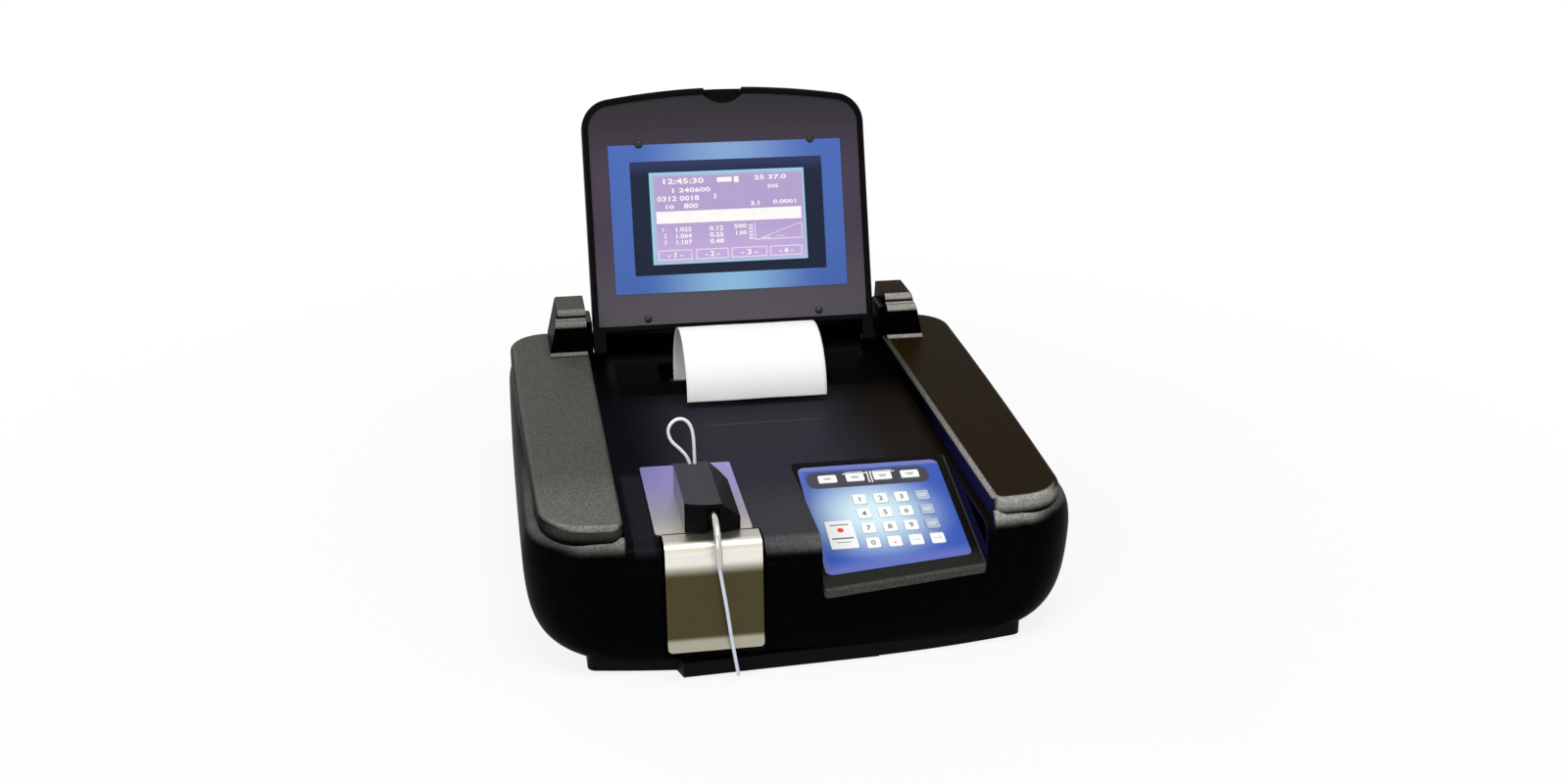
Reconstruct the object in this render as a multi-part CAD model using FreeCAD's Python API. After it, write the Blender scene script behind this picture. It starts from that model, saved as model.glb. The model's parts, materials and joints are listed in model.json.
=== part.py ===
import FreeCAD, Part
import math
import os

V = FreeCAD.Vector
X = V(1, 0, 0)
Y = V(0, 1, 0)
Z = V(0, 0, 1)

# All sizes are millimetres. X runs to the right, Y to the back, Z up from the bench.

# Sizes below are set out about a line through the body. Every piece is moved back by this much
# when it is saved, which puts the origin under the middle of the whole part.
origin_shift_y = 3.0

# General clearances and overruns
overrun = 10.0
part_gap = 0.3
running_gap = 0.05
wall = 3.0

# Outer body of the housing
body_front_half_width = 188.0
body_side_bow = 2.0
body_back_widening = 0.5
body_half_width = body_front_half_width + body_side_bow
body_back_half_width = body_front_half_width + body_back_widening
body_front_y = -216.0
body_back_y = 174.0
body_front_sweep = 9.0
sweep_reach = 150.0
body_front_corner_r = 45.0
body_back_corner_r = 30.0
body_floor_z = 8.0
body_bulge_z = 75.0
body_ledge_z = 101.0
lower_round_side = 33.0
lower_round_front = 9.0
upper_round_side = 10.0
upper_round_front = 8.0
# Height between floor and bulge, and how much of the lower rounding is left there
lower_section_shares = ((0, 1), (0.045, 0.66), (0.134, 0.41), (0.27, 0.225), (0.48, 0.09), (0.75, 0.02),
                        (1, 0))
# Height between bulge and ledge, and how much of the upper rounding is used up there
upper_section_shares = ((0.5, 0.12), (0.81, 0.42), (1, 1))

# Raised side arms, joined behind by a low rim
arm_top_z = 110.0
arm_root_z = 76.0
arm_front_y = -209.6
arm_front_sweep = 7.0
arm_front_inset = 12.0
arm_middle_inset = 6.5
arm_back_inset = 1.5
arm_front_corner_r = 34.0
arm_back_y = 172.0
arm_edge_r = 4.5
arm_inner_corner_r = 9.0

# Sunken deck between the arms
deck_half_width = 123.0
deck_z = 95.0
deck_back_y = 162.0
deck_corner_r = 10.0
deck_nose_r = 14.0
deck_nose_step = 1.0

# Hinge cowls that stand on the arms
cowl_inner_x = 125.0
cowl_outer_x = 155.0
cowl_front_y = 109.0
cowl_back_y = 166.0
cowl_top_z = 145.0
cowl_lip_z = 113.0
cowl_lip_depth = 3.5
cowl_groove_z = 138.0
cowl_groove_depth = 2.5
cowl_nose_r = 6.0
cowl_edge_r = 2.0
cowl_side_lean = 7.0
cowl_back_lean = 6.0
cowl_bridge_x = 120.0
cowl_bridge_z = 135.0
cowl_bridge_y = (122.0, 150.0)

# Lid hinge
hinge_y = 135.5
hinge_z = 103.5
hinge_pin_r = 3.0
hinge_boss_r = 6.5
hinge_boss_x = 119.3
hinge_socket_x = 134.0
lid_ear_r = 7.4
lid_ear_width = 10.0

# Lid, built flat and then leant back about its own lower edge
lid_lean = 20.07
lid_origin_y = 136.2
lid_origin_z = 118.7
lid_half_width = 118.5
lid_height = 200.0
lid_shoulder_x = 100.0
lid_shoulder_v = 192.0
lid_corner_r = 25.0
lid_foot_r = 6.0
lid_inner_foot_r = 1.5
lid_back_w = 18.0
lid_rim_w = -1.5
lid_rim = 5.0
lid_ledge = 2.0
lid_back_edge_r = 7.0
bezel_thickness = 2.5
notch_half_width = 16.5
notch_depth = 10.0
notch_back_w = 11.0

# Display and its printed surround
overlay_half_width = 97.9
overlay_v = (31.2, 154.4)
overlay_thickness = 0.6
overlay_recess = 0.7
screen_half_width = 65.3
screen_v = (54.6, 131.0)
module_margin = 9.0
module_depth = 7.0
glass_margin = 4.5
bezel_screw_x = 72.2
bezel_screw_v = (10.5, 154.9)
bezel_screw_r = 1.25
bezel_screw_head_r = 3.2
bezel_screw_head = 1.9
bezel_boss_r = 4.0

# Keypad tray, built flat and then sloped about its back edge
tray_slope = 14.45
tray_back_y = -95.0
tray_back_z = 95.8
tray_x = (5.0, 118.0)
tray_left_length = 134.5
tray_right_length = 121.5
tray_thickness = 6.0
tray_corner_r = 3.0
tray_seat = 5.0
tray_headroom = 70.0
keypad_x = (8.7, 111.5)
keypad_back = 4.6
keypad_left_length = 119.0
keypad_right_length = 108.3
keypad_corner_r = 5.0
keypad_recess = 1.2
keypad_skin = 0.5
board_depth = 2.6
board_thickness = 1.6
board_lap = 3.0

# Keys, placed from the tray's back edge down the slope
key_size = (9.6, 10.4)
key_columns_x = 46.6
key_pitch_x = 15.05
key_rows_s = 43.9
key_pitch_s = 15.28
key_count = 4
menu_key_size = (13.2, 8.2)
menu_key_x = 28.3
menu_key_pitch = 20.0
menu_key_s = 19.6
start_key_size = (19.3, 28.5)
start_key_x = 26.7
start_key_s = 79.5
key_corner_r = 1.2
key_gap = 0.25
key_travel = 0.5
key_underlap = 0.1
key_proud = 0.6

# Stainless sheets under the sample probe
sheet = 1.0
sheet_x = (-102.4, -37.8)
sheet_y = (-191.5, -84.0)
sheet_corner_r = 2.0
trigger_x = (-98.4, -34.4)
trigger_back_y = -193.0
trigger_bend_y = -203.0
trigger_bend_r = 8.0
trigger_lean = 7.0
trigger_face_bottom_z = 30.5
trigger_flare = 3.0
trigger_bottom_z = 23.5
trigger_corner_r = 3.0
trigger_pivot_y = -197.5
trigger_pivot_z = 86.0
trigger_throw = 2.5
trigger_pin_r = 2.0
trigger_pin_length = 6.0
trigger_ear_r = 4.5
trigger_ear_inset = 1.5
recess_gap = 1.8
recess_back_y = -206.0
recess_pocket_y = -189.5
recess_pocket_z = 78.0
recess_bottom_z = 12.0

# Sample switch and its return spring behind the trigger plate
switch_x = -82.0
switch_z = 38.0
switch_size = (12.0, 9.0, 9.0)
switch_plunger_r = 1.5
spring_x = -50.0
spring_z = 34.0
spring_r = 3.6
spring_wire = 0.8
spring_turns = 5
spring_seat = 0.4

# Flow cell block that lifts out of the optics
block_x = (-83.0, -46.0)
block_y = (-191.0, -127.0)
block_z = (96.3, 117.0)
block_nose = 4.5
block_chamfer_x = 13.0
block_chamfer_z = 12.0
block_back_cut = 6.0
block_edge_r = 1.0
block_slot_x = -64.7
block_slot_width = 9.0
block_slot_depth = 5.0
stem_x = (-73.0, -57.0)
stem_y = (-158.0, -126.5)
stem_z = 50.0
stem_gap = 0.5
beam_y = -142.0
beam_z = 75.0
beam_r = 3.0

# Sleeve and tubes on the flow cell block
sleeve_r = 2.3
sleeve_route = ((-64.7, -187.5, 111.0), (-64.7, -205.0, 111.0), (-64.7, -218.3, 103.0),
                (-64.7, -223.5, 86.0))
tube_d = 2.4
sipper_route = ((-64.7, -223.5, 86.0), (-63.1, -224.9, 74.0), (-60.2, -225.6, 56.0), (-57.3, -225.0, 33.0),
                (-52.6, -224.2, 5.0))
loop_d = 2.2
loop_route = (
    (-71.6, -129.0, 117.0), (-73.2, -129.1, 122.0), (-78.6, -129.2, 129.0), (-85.4, -129.3, 136.0),
    (-87.4, -129.4, 144.5), (-83.6, -129.5, 151.0), (-77.0, -129.6, 153.6), (-70.6, -129.6, 150.4),
    (-67.2, -129.6, 143.0), (-67.0, -129.5, 133.5), (-67.9, -129.3, 125.0), (-68.1, -129.2, 117.0))
arc_share = 0.45

# Base pan, its toe, feet and screws
foot_height = 1.2
foot_r = 9.0
foot_front_inset = (22.0, 44.5)
foot_back_inset = (32.0, 41.0)
pan_half_width = 150.0
pan_front_y = -210.5
pan_front_sweep = 14.0
pan_back_y = 166.0
pan_corner_r = 6.0
pan_top_z = 26.0
pan_floor = 2.5
pan_wall = 2.5
toe_x = (-94.0, -88.0, 46.0)
toe_y = (-198.0, -215.5, -210.0)
toe_top_z = 12.0
boss_r = 4.5
boss_side_inset = 17.0
boss_front_inset = 26.5
boss_back_inset = 21.0
base_screw_r = 1.5
base_screw_depth = 12.0
base_screw_head_r = 3.2
base_screw_head = 1.0

# Printer cover with its dished paper pocket
cover_half_width = 103.0
cover_y = (52.8, 127.0)
cover_sheet = 1.5
cover_ledge = 2.0
cover_corner_r = 3.0
dish_half_width = 68.5
dish_floor_z = 86.0
dish_corner_r = 9.0
slot_half_width = 60.0
slot_y = (104.0, 119.5)

# Printer mechanism
roll_r = 20.0
roll_core_r = 6.0
roll_half_width = 56.0
roll_side_gap = 1.0
roll_y = 80.0
platen_r = 6.0
platen_y = 121.0
platen_z = 76.0
platen_half_width = 57.0
platen_shaft_r = 2.5
printer_half_width = 73.0
printer_plate = 2.5
printer_y = (54.0, 131.0)
printer_z = (36.0, 83.5)
cheek_height = 14.0
cheek_y = (64.0, 96.0)
head_height = 14.0
head_thickness = 6.0
gear_module = 1.0
gear_teeth = 24
pinion_teeth = 12
gear_width = 4.0
tooth_root_share = 0.26
tooth_share = 0.21
tooth_tip_share = 0.11
addendum_share = 0.9
dedendum_share = 1.15
gear_side_gap = 1.0
motor_r = 9.0
motor_length = 25.0
motor_shaft_r = 1.5

# Paper strip: up out of the slot, over in a wide arc, then a tighter curl
paper_half_width = 55.0
paper_thickness = 0.25
paper_y = 114.6
paper_bottom_z = 70.5
paper_rise_z = 97.0
paper_curl_r = 24.0
paper_curl_y = 43.0
paper_curl_z = 111.0
paper_end_turn = 33.0

# Photometer
optics_x = (-94.0, -20.0)
optics_y = (-176.0, -106.0)
optics_z = (34.0, 91.7)
bench_sheet = 3.0
bench_left_x = -136.5
wheel_x = -99.0
wheel_thickness = 3.0
wheel_side_gap = 1.0
wheel_r = 28.0
wheel_z = 53.0
filter_r = 4.5
filter_pitch_r = 22.0
filter_count = 8
filter_motor_r = 9.0
filter_motor_x = (-133.5, -106.0)
filter_shaft_r = 1.5
lamp_r = 6.0
lamp_x = (-133.5, -120.0)
lamp_glass_x = -107.0
lamp_glass_r = 4.5
detector_board_size = (1.6, 30.0, 26.0)
detector_r = 2.6
detector_length = 5.0
pillar_r = 4.0
pillar_inset = 5.0

# Peristaltic pump with its gear motor on top
pump_x = 60.0
pump_y = -140.0
pump_r = 24.0
pump_cup_z = (4.0, 28.0)
pump_bore_r = 21.0
pump_motor_r = 15.0
pump_motor_top_z = 62.0
rotor_r = 10.0
roller_r = 4.0
roller_pitch_r = 13.5
roller_count = 3
rotor_z = (8.0, 25.0)
rotor_shaft_r = 2.5
rotor_shaft_top_z = 40.0

# Main board with its rear sockets
main_board_x = (-58.0, 56.0)
main_board_y = (62.0, 164.0)
main_board_z = 31.2
data_socket_x = (-38.0, -7.0)
data_socket_top_z = 45.2
power_socket_x = (20.0, 30.0)
power_socket_top_z = 43.2
socket_depth = 12.0
power_bore_r = 2.9
power_bore_depth = 9.0
chip_shares = ((0.1, 0.15, 0.3, 0.22), (0.5, 0.1, 0.22, 0.3), (0.15, 0.5, 0.25, 0.2),
               (0.6, 0.55, 0.15, 0.25))
chip_height = 2.6

# Rear panel, rocker switch and waste fitting
rear_window_x = 112.0
rear_window_z = (32.0, 80.0)
rear_sheet = 2.0
rear_lap = 4.0
rear_panel_y = 168.8
rocker_x = 86.0
rocker_z = 57.0
rocker_size = (11.0, 18.0)
rocker_wall = 2.0
rocker_cup_depth = 11.0
rocker_r = 10.5
rocker_pin_r = 1.5
rocker_tilt = 8.0
waste_x = -84.0
waste_z = 50.0
waste_r = 2.5
waste_length = 14.0
waste_flange_r = 6.0
waste_flange = 3.0
waste_bore_r = 1.4
waste_tip_r = 2.0
waste_tip_length = 3.0


# Simple solids

def box(x, y, z):
    return Part.makeBox(x[1] - x[0], y[1] - y[0], z[1] - z[0], V(x[0], y[0], z[0]))


def rod(start, end, r):
    way = end - start
    return Part.makeCylinder(r, way.Length, start, way)


def rod_x(x, y, z, r):
    return rod(V(x[0], y, z), V(x[1], y, z), r)


def rod_y(x, y, z, r):
    return rod(V(x, y[0], z), V(x, y[1], z), r)


def rod_z(x, y, z, r):
    return rod(V(x, y, z[0]), V(x, y, z[1]), r)


def middle_of(pair):
    return (pair[0] + pair[1]) / 2


def about(middle, size):
    return (middle - size / 2, middle + size / 2)


def grown(pair, by):
    return (pair[0] - by, pair[1] + by)


def joined(shapes):
    whole = shapes[0]
    for shape in shapes[1:]:
        whole = whole.fuse(shape)
    return whole.removeSplitter()


def mirrored(shape):
    return shape.mirror(V(0, 0, 0), X)


def arc(start, through, end):
    return Part.Arc(start, through, end).toShape()


def line(start, end):
    return Part.LineSegment(start, end).toShape()


def prism(wire, way):
    return Part.Face(wire).extrude(way)


def polygon(points, way):
    return prism(Part.makePolygon(list(points) + [points[0]]), way)


def rounded_polygon(points, r, way):
    """Prism of a polygon whose upright edges are rounded by r."""
    solid = polygon(points, way)
    upright = [e for e in solid.Edges if abs(e.Length - way.Length) < running_gap
               and abs(e.tangentAt(e.FirstParameter).dot(way)) > way.Length - running_gap]
    return solid.makeFillet(r, upright)


def rounded_box(x, y, z, r):
    corners = [V(x[0], y[0], z[0]), V(x[1], y[0], z[0]), V(x[1], y[1], z[0]), V(x[0], y[1], z[0])]
    return rounded_polygon(corners, r, V(0, 0, z[1] - z[0]))


def edges_at(solid, test):
    """Edges whose every end passes the test."""
    return [e for e in solid.Edges if all(test(v.Point) for v in e.Vertexes)]


# Bowed outlines of the housing

def circle_of(a, b, c):
    curve = Part.Circle(a, b, c)
    return curve.Center, curve.Radius


def toward(start, end, length):
    way = end - start
    return start + way * (length / way.Length)


def corner_centre(c1, r1, c2, r2, r):
    """Centre of a circle of radius r that touches two larger circles from inside, at the front right."""
    span = c2 - c1
    d = span.Length
    along = ((r1 - r) ** 2 - (r2 - r) ** 2 + d * d) / (2 * d)
    off = math.sqrt((r1 - r) ** 2 - along ** 2)
    unit = span * (1 / d)
    side = V(-unit.y, unit.x, 0)
    found = [c1 + unit * along + side * s for s in (off, -off)]
    return max(found, key=lambda p: p.x - p.y)


def bowed_outline(z, widths, front_y, sweep, back_y, front_r, back_r):
    """Closed outline, mirrored in X: bowed front, bowed sides, straight back, round corners.

    widths holds the half widths at the front, the middle and the back of the sides.
    """
    middle_y = (front_y + back_y) / 2
    side_c, side_r = circle_of(V(widths[0], front_y, z), V(widths[1], middle_y, z), V(widths[2], back_y, z))
    front_c, front_rad = circle_of(V(-sweep_reach, front_y + sweep, z), V(0, front_y, z),
                                   V(sweep_reach, front_y + sweep, z))
    p = corner_centre(front_c, front_rad, side_c, side_r, front_r)
    f1 = toward(front_c, p, front_rad)
    f2 = toward(side_c, p, side_r)
    q = V(0, back_y - back_r, z)
    q.x = side_c.x + math.sqrt((side_r - back_r) ** 2 - (q.y - side_c.y) ** 2)
    b1 = V(q.x, back_y, z)
    b2 = toward(side_c, q, side_r)
    front_corner = toward(p, (f1 + f2) * 0.5, front_r)
    back_corner = toward(q, (b1 + b2) * 0.5, back_r)
    side_mid = toward(side_c, (f2 + b2) * 0.5, side_r)

    def m(v):
        return V(-v.x, v.y, v.z)

    return Part.Wire([
        arc(m(f1), V(0, front_y, z), f1), arc(f1, front_corner, f2), arc(f2, side_mid, b2),
        arc(b2, back_corner, b1), line(b1, m(b1)), arc(m(b1), m(back_corner), m(b2)),
        arc(m(b2), m(side_mid), m(f2)), arc(m(f2), m(front_corner), m(f1))])


def body_section(z, side_in, front_in):
    widths = [w - side_in for w in (body_front_half_width, body_half_width, body_back_half_width)]
    return bowed_outline(z, widths, body_front_y + front_in, body_front_sweep, body_back_y - front_in,
                         body_front_corner_r, body_back_corner_r)


def body_loft(skin):
    """Rounded lower body, drawn in by skin on every side."""
    low = body_floor_z + skin
    high = body_ledge_z - skin
    wires = []
    for up, left in lower_section_shares:
        z = low + (body_bulge_z - low) * up
        wires.append(body_section(z, skin + lower_round_side * left, skin + lower_round_front * left))
    for up, left in upper_section_shares:
        z = body_bulge_z + (high - body_bulge_z) * up
        wires.append(body_section(z, skin + upper_round_side * left, skin + upper_round_front * left))
    return Part.makeLoft(wires, True, False)


def arms(skin):
    """Raised U of the two arms and the rim behind them, drawn in by skin."""
    widths = [body_front_half_width - arm_front_inset, body_half_width - arm_middle_inset,
              body_back_half_width - arm_back_inset]
    wire = bowed_outline(arm_root_z, [w - skin for w in widths], arm_front_y + skin, arm_front_sweep, arm_back_y - skin,
                         arm_front_corner_r, body_back_corner_r)
    height = arm_top_z - skin - arm_root_z
    solid = prism(wire, V(0, 0, height)).cut(deck_space(skin, arm_root_z - overrun))
    if skin:
        return solid
    inner = edges_at(solid, lambda p: abs(abs(p.x) - deck_half_width) < running_gap and p.y < 0)
    upright = [e for e in inner if abs(e.Length - height) < running_gap]
    solid = solid.makeFillet(arm_inner_corner_r, upright)
    top = edges_at(solid, lambda p: abs(p.z - arm_top_z) < running_gap)
    return solid.makeFillet(arm_edge_r, top)


def deck_space(skin, bottom):
    """Space above the deck, between the arms, grown by skin."""
    half = deck_half_width + skin
    r = deck_corner_r + skin
    block = box((-half, half), (body_front_y - overrun, deck_back_y + skin), (bottom, arm_top_z + overrun))
    upright = edges_at(block, lambda p: abs(p.y - deck_back_y - skin) < running_gap)
    upright = [e for e in upright if abs(e.Vertexes[0].X - e.Vertexes[1].X) < running_gap]
    return block.makeFillet(r, upright)


def nose_space(skin):
    """What is cut away along the deck's front edge to round it over, following the bowed front."""
    centre, radius = circle_of(V(-sweep_reach, body_front_y + body_front_sweep, 0), V(0, body_front_y, 0),
                               V(sweep_reach, body_front_y + body_front_sweep, 0))
    top = deck_z - skin
    r = deck_nose_r - skin
    front = body_front_y + deck_nose_step + skin
    bottom = top - r
    turn = V(0, front + r, bottom)
    far = front - overrun
    face = Part.Face(Part.Wire([
        arc(V(0, front + r, top), turn + V(0, -r, r) * math.sqrt(0.5), V(0, front, bottom)),
        line(V(0, front, bottom), V(0, far, bottom - overrun)),
        line(V(0, far, bottom - overrun), V(0, far, top + overrun)),
        line(V(0, far, top + overrun), V(0, front + r, top + overrun)),
        line(V(0, front + r, top + overrun), V(0, front + r, top))]))
    half = deck_half_width + skin
    angle = math.degrees(math.asin(half / radius)) * 2
    face.rotate(V(centre.x, centre.y, 0), Z, -angle / 2)
    ring = face.revolve(V(centre.x, centre.y, 0), Z, angle)
    return ring.common(box((-half, half), (front - 2 * overrun, 0), (0, arm_top_z + overrun)))


# Housing

def outer_body():
    body = body_loft(0).fuse(arms(0))
    return body.cut(deck_space(0, deck_z)).cut(nose_space(0))


def inner_body():
    hollow = body_loft(wall).fuse(arms(wall))
    return hollow.cut(deck_space(wall, deck_z - wall)).cut(nose_space(wall))


def cowl():
    """Right hinge cowl: a long block with a stepped, rounded front and a lip at its foot."""
    foot = arm_top_z - wall
    front = cowl_front_y
    face = front + cowl_lip_depth
    r = cowl_nose_r
    step = face + cowl_groove_depth
    chin = cowl_groove_z - r
    top_back = V(cowl_inner_x, cowl_back_y - cowl_back_lean, cowl_top_z)
    profile = Part.Wire([
        line(V(cowl_inner_x, front, foot), V(cowl_inner_x, front, cowl_lip_z - cowl_lip_depth)),
        arc(V(cowl_inner_x, front, cowl_lip_z - cowl_lip_depth),
            V(cowl_inner_x, face - cowl_lip_depth * math.sqrt(0.5), cowl_lip_z - cowl_lip_depth
              + cowl_lip_depth * math.sqrt(0.5)),
            V(cowl_inner_x, face, cowl_lip_z)),
        line(V(cowl_inner_x, face, cowl_lip_z), V(cowl_inner_x, face, chin)),
        arc(V(cowl_inner_x, face, chin),
            V(cowl_inner_x, face + r * (1 - math.sqrt(0.5)), chin + r * math.sqrt(0.5)),
            V(cowl_inner_x, face + r, chin + r)),
        line(V(cowl_inner_x, face + r, chin + r), V(cowl_inner_x, step + r, cowl_top_z - r)),
        arc(V(cowl_inner_x, step + r, cowl_top_z - r),
            V(cowl_inner_x, step + r + r * (1 - math.sqrt(0.5)), cowl_top_z - r + r * math.sqrt(0.5)),
            V(cowl_inner_x, step + 2 * r, cowl_top_z)),
        line(V(cowl_inner_x, step + 2 * r, cowl_top_z), top_back),
        line(top_back, V(cowl_inner_x, cowl_back_y, foot)),
        line(V(cowl_inner_x, cowl_back_y, foot), V(cowl_inner_x, front, foot))])
    block = prism(profile, V(cowl_outer_x - cowl_inner_x, 0, 0))
    lean = V(cowl_side_lean, 0, cowl_lip_z - cowl_top_z)
    high = V(cowl_outer_x - cowl_side_lean, front - overrun, cowl_top_z)
    slant = polygon([high - lean, high + lean, V(cowl_outer_x + overrun, high.y, cowl_lip_z),
                     V(cowl_outer_x + overrun, high.y, (high - lean).z)],
                    V(0, cowl_back_y - front + 2 * overrun, 0))
    block = block.cut(slant)
    across = cowl_outer_x - cowl_side_lean
    rim = edges_at(block, lambda p: p.z > cowl_groove_z and p.x > across - cowl_side_lean)
    block = block.makeFillet(cowl_edge_r, [e for e in rim if e.Length > cowl_back_lean])
    bridge = box((cowl_bridge_x, cowl_inner_x), cowl_bridge_y, (foot, cowl_bridge_z))
    upper = edges_at(bridge, lambda p: abs(p.z - cowl_bridge_z) < running_gap and p.x < cowl_inner_x)
    return block.fuse(bridge.makeFillet(cowl_edge_r, upper))


def hinge_boss():
    """Right hinge boss in the arm's inner wall, before its bore."""
    return rod_x((hinge_boss_x, hinge_socket_x), hinge_y, hinge_z, hinge_boss_r)


def hinge_bore():
    x = (hinge_boss_x - overrun, hinge_socket_x - wall)
    return rod_x(x, hinge_y, hinge_z, hinge_pin_r + running_gap)


def both_sides(shape):
    return shape.fuse(mirrored(shape))


def recess_outline(by):
    """Recess behind the trigger plate, grown by by, as an extrusion along X."""
    x = grown(trigger_x, recess_gap + by)
    front = body_front_y - overrun
    points = [V(x[0], front, recess_bottom_z - by), V(x[0], recess_back_y + by, recess_bottom_z - by),
              V(x[0], recess_back_y + by, recess_pocket_z - by),
              V(x[0], recess_pocket_y + by, recess_pocket_z - by),
              V(x[0], recess_pocket_y + by, deck_z + overrun), V(x[0], front, deck_z + overrun)]
    return polygon(points, V(x[1] - x[0], 0, 0))


def recess_walls(outer):
    walls = recess_outline(wall).common(outer)
    above = box((-deck_half_width, deck_half_width), (body_front_y, 0), (deck_z, arm_top_z + overrun))
    return walls.cut(above)


def trigger_stubs():
    """Pivot stubs on the recess's side walls."""
    x = grown(trigger_x, recess_gap)
    left = (x[0] - wall, x[0] + trigger_pin_length)
    right = (x[1] - trigger_pin_length, x[1] + wall)
    return [rod_x(span, trigger_pivot_y, trigger_pivot_z, trigger_pin_r) for span in (left, right)]


def on_tray(shape):
    """Moves a piece built flat, with its back edge on Y zero, onto the sloped keypad."""
    moved = shape.copy()
    moved.rotate(V(0, 0, 0), X, tray_slope)
    moved.translate(V(0, tray_back_y, tray_back_z))
    return moved


def tray_block(by, low, high):
    """Tray outline grown by by, from low to high above its own top face."""
    x = grown(tray_x, by)
    points = [V(x[0], by, low), V(x[1], by, low), V(x[1], -tray_right_length - by, low),
              V(x[0], -tray_left_length - by, low)]
    return on_tray(rounded_polygon(points, tray_corner_r, V(0, 0, high - low)))


def tray_housing(outer):
    """Pocket in the deck that the keypad tray drops into."""
    block = tray_block(wall, -tray_thickness - wall, overrun).common(outer)
    space = tray_block(part_gap, -tray_thickness, tray_headroom)
    hole = tray_block(-tray_seat, -tray_thickness - wall - overrun, overrun)
    return block, space, hole


def pan_outline(z, by):
    """Outline of the base pan, grown by a clearance or drawn in by its wall."""
    half = pan_half_width + by
    return bowed_outline(z, [half, half + running_gap, half], pan_front_y - by, pan_front_sweep,
                         pan_back_y + by, pan_corner_r + by, pan_corner_r + by)


def base_envelope(by):
    return prism(pan_outline(foot_height, by), V(0, 0, pan_top_z + by - foot_height))


def toe_block(by):
    points = [V(toe_x[0] - by, toe_y[0], foot_height), V(toe_x[1] - by, toe_y[1] - by, foot_height),
              V(toe_x[2] + by, toe_y[2] - by, foot_height), V(toe_x[2] + by, toe_y[0], foot_height)]
    return polygon(points, V(0, 0, toe_top_z + by - foot_height))


def boss_places():
    x = pan_half_width - boss_side_inset
    y = (pan_front_y + boss_front_inset, pan_back_y - boss_back_inset)
    return [(sx * x, at) for at in y for sx in (-1, 1)]


def cover_space():
    """Rebate and through hole in the deck for the printer cover."""
    half = cover_half_width + part_gap
    rebate = rounded_box((-half, half), grown(cover_y, part_gap), (deck_z - cover_sheet, deck_z + overrun),
                         cover_corner_r)
    half = cover_half_width - cover_ledge
    z = (deck_z - wall - overrun, deck_z + overrun)
    hole = rounded_box((-half, half), grown(cover_y, -cover_ledge), z, cover_corner_r)
    return rebate.fuse(hole)


def upper_housing():
    outer = outer_body()
    shell = outer.cut(inner_body())
    shell = shell.fuse(both_sides(cowl()))
    shell = shell.fuse(both_sides(hinge_boss()))
    shell = shell.cut(both_sides(hinge_bore()))
    shell = shell.fuse(recess_walls(outer)).cut(recess_outline(0))
    shell = shell.fuse(Part.makeCompound(trigger_stubs()))
    block, space, hole = tray_housing(outer)
    shell = shell.fuse(block).cut(space).cut(hole.common(inner_body()))
    for x, y in boss_places():
        top = arm_top_z - wall + running_gap
        boss = rod_z(x, y, (foot_height + pan_floor, top), boss_r)
        pilot = rod_z(x, y, (0, foot_height + pan_floor + base_screw_depth), base_screw_r + running_gap)
        shell = shell.fuse(boss).cut(pilot)
    shell = shell.cut(base_envelope(part_gap).cut(boss_keep())).cut(toe_block(part_gap))
    shell = shell.cut(cover_space())
    stem = box(grown(stem_x, stem_gap), grown(stem_y, stem_gap), (stem_z, deck_z + overrun))
    shell = shell.cut(stem)
    shell = shell.cut(switch_bores())
    seat, window = rear_seat(outer)
    return shell.fuse(seat).cut(window).removeSplitter()


def rear_seat(outer):
    """Flat seat inside the back wall for the rear panel, and the window cut through it."""
    half = rear_window_x + rear_lap
    seat = box((-half, half), (rear_panel_y, body_back_y), grown(rear_window_z, rear_lap)).common(outer)
    window = box((-rear_window_x, rear_window_x), grown((rear_panel_y, body_back_y), overrun), rear_window_z)
    return seat, window


def boss_keep():
    """Cylinders left whole when the base pan's space is cut out of the housing."""
    z = (0, pan_top_z + overrun)
    return Part.makeCompound([rod_z(x, y, z, boss_r + running_gap) for x, y in boss_places()])


def switch_bores():
    """Openings in the recess's back wall for the sample switch."""
    y = (recess_back_y - overrun / 2, recess_back_y + wall + overrun)
    return rod_y(switch_x, y, switch_z, switch_plunger_r + part_gap)


# Base

def base_pan():
    outer = base_envelope(0)
    inner = prism(pan_outline(foot_height + pan_floor, -pan_wall), V(0, 0, pan_top_z))
    pan = outer.cut(inner).fuse(toe_block(0))
    floor = foot_height + pan_floor
    pillars = [rod_z(x, y, (foot_height, z), pillar_r) for x, y, z in pillar_places()]
    pan = pan.fuse(Part.makeCompound(pillars))
    for x, y in boss_places():
        pan = pan.cut(rod_z(x, y, (0, floor + overrun), base_screw_r + part_gap))
    return pan.removeSplitter()


def pillar_places():
    """Pillars on the pan that carry the printer, the optics and the main board."""
    px = printer_half_width - pillar_r
    py = grown(printer_y, -2 * pillar_r)
    printer = [(sx * px, y, printer_z[0]) for sx in (-1, 1) for y in py]
    ox = (bench_left_x + 2 * pillar_r, optics_x[1] - 2 * pillar_r)
    optics = [(x, y, optics_z[0] - bench_sheet) for x in ox for y in grown(optics_y, -2 * pillar_r)]
    by = grown(main_board_y, -2 * pillar_r)
    board = [(x, y, main_board_z) for x in grown(main_board_x, -pillar_inset) for y in by]
    return printer + optics + board


def rubber_feet():
    front, back = foot_front_inset, foot_back_inset
    rows = ((pan_half_width - front[0], pan_front_y + front[1]),
            (pan_half_width - back[0], pan_back_y - back[1]))
    return Part.makeCompound([rod_z(sx * x, y, (0, foot_height), foot_r) for x, y in rows
                              for sx in (-1, 1)])


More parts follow.
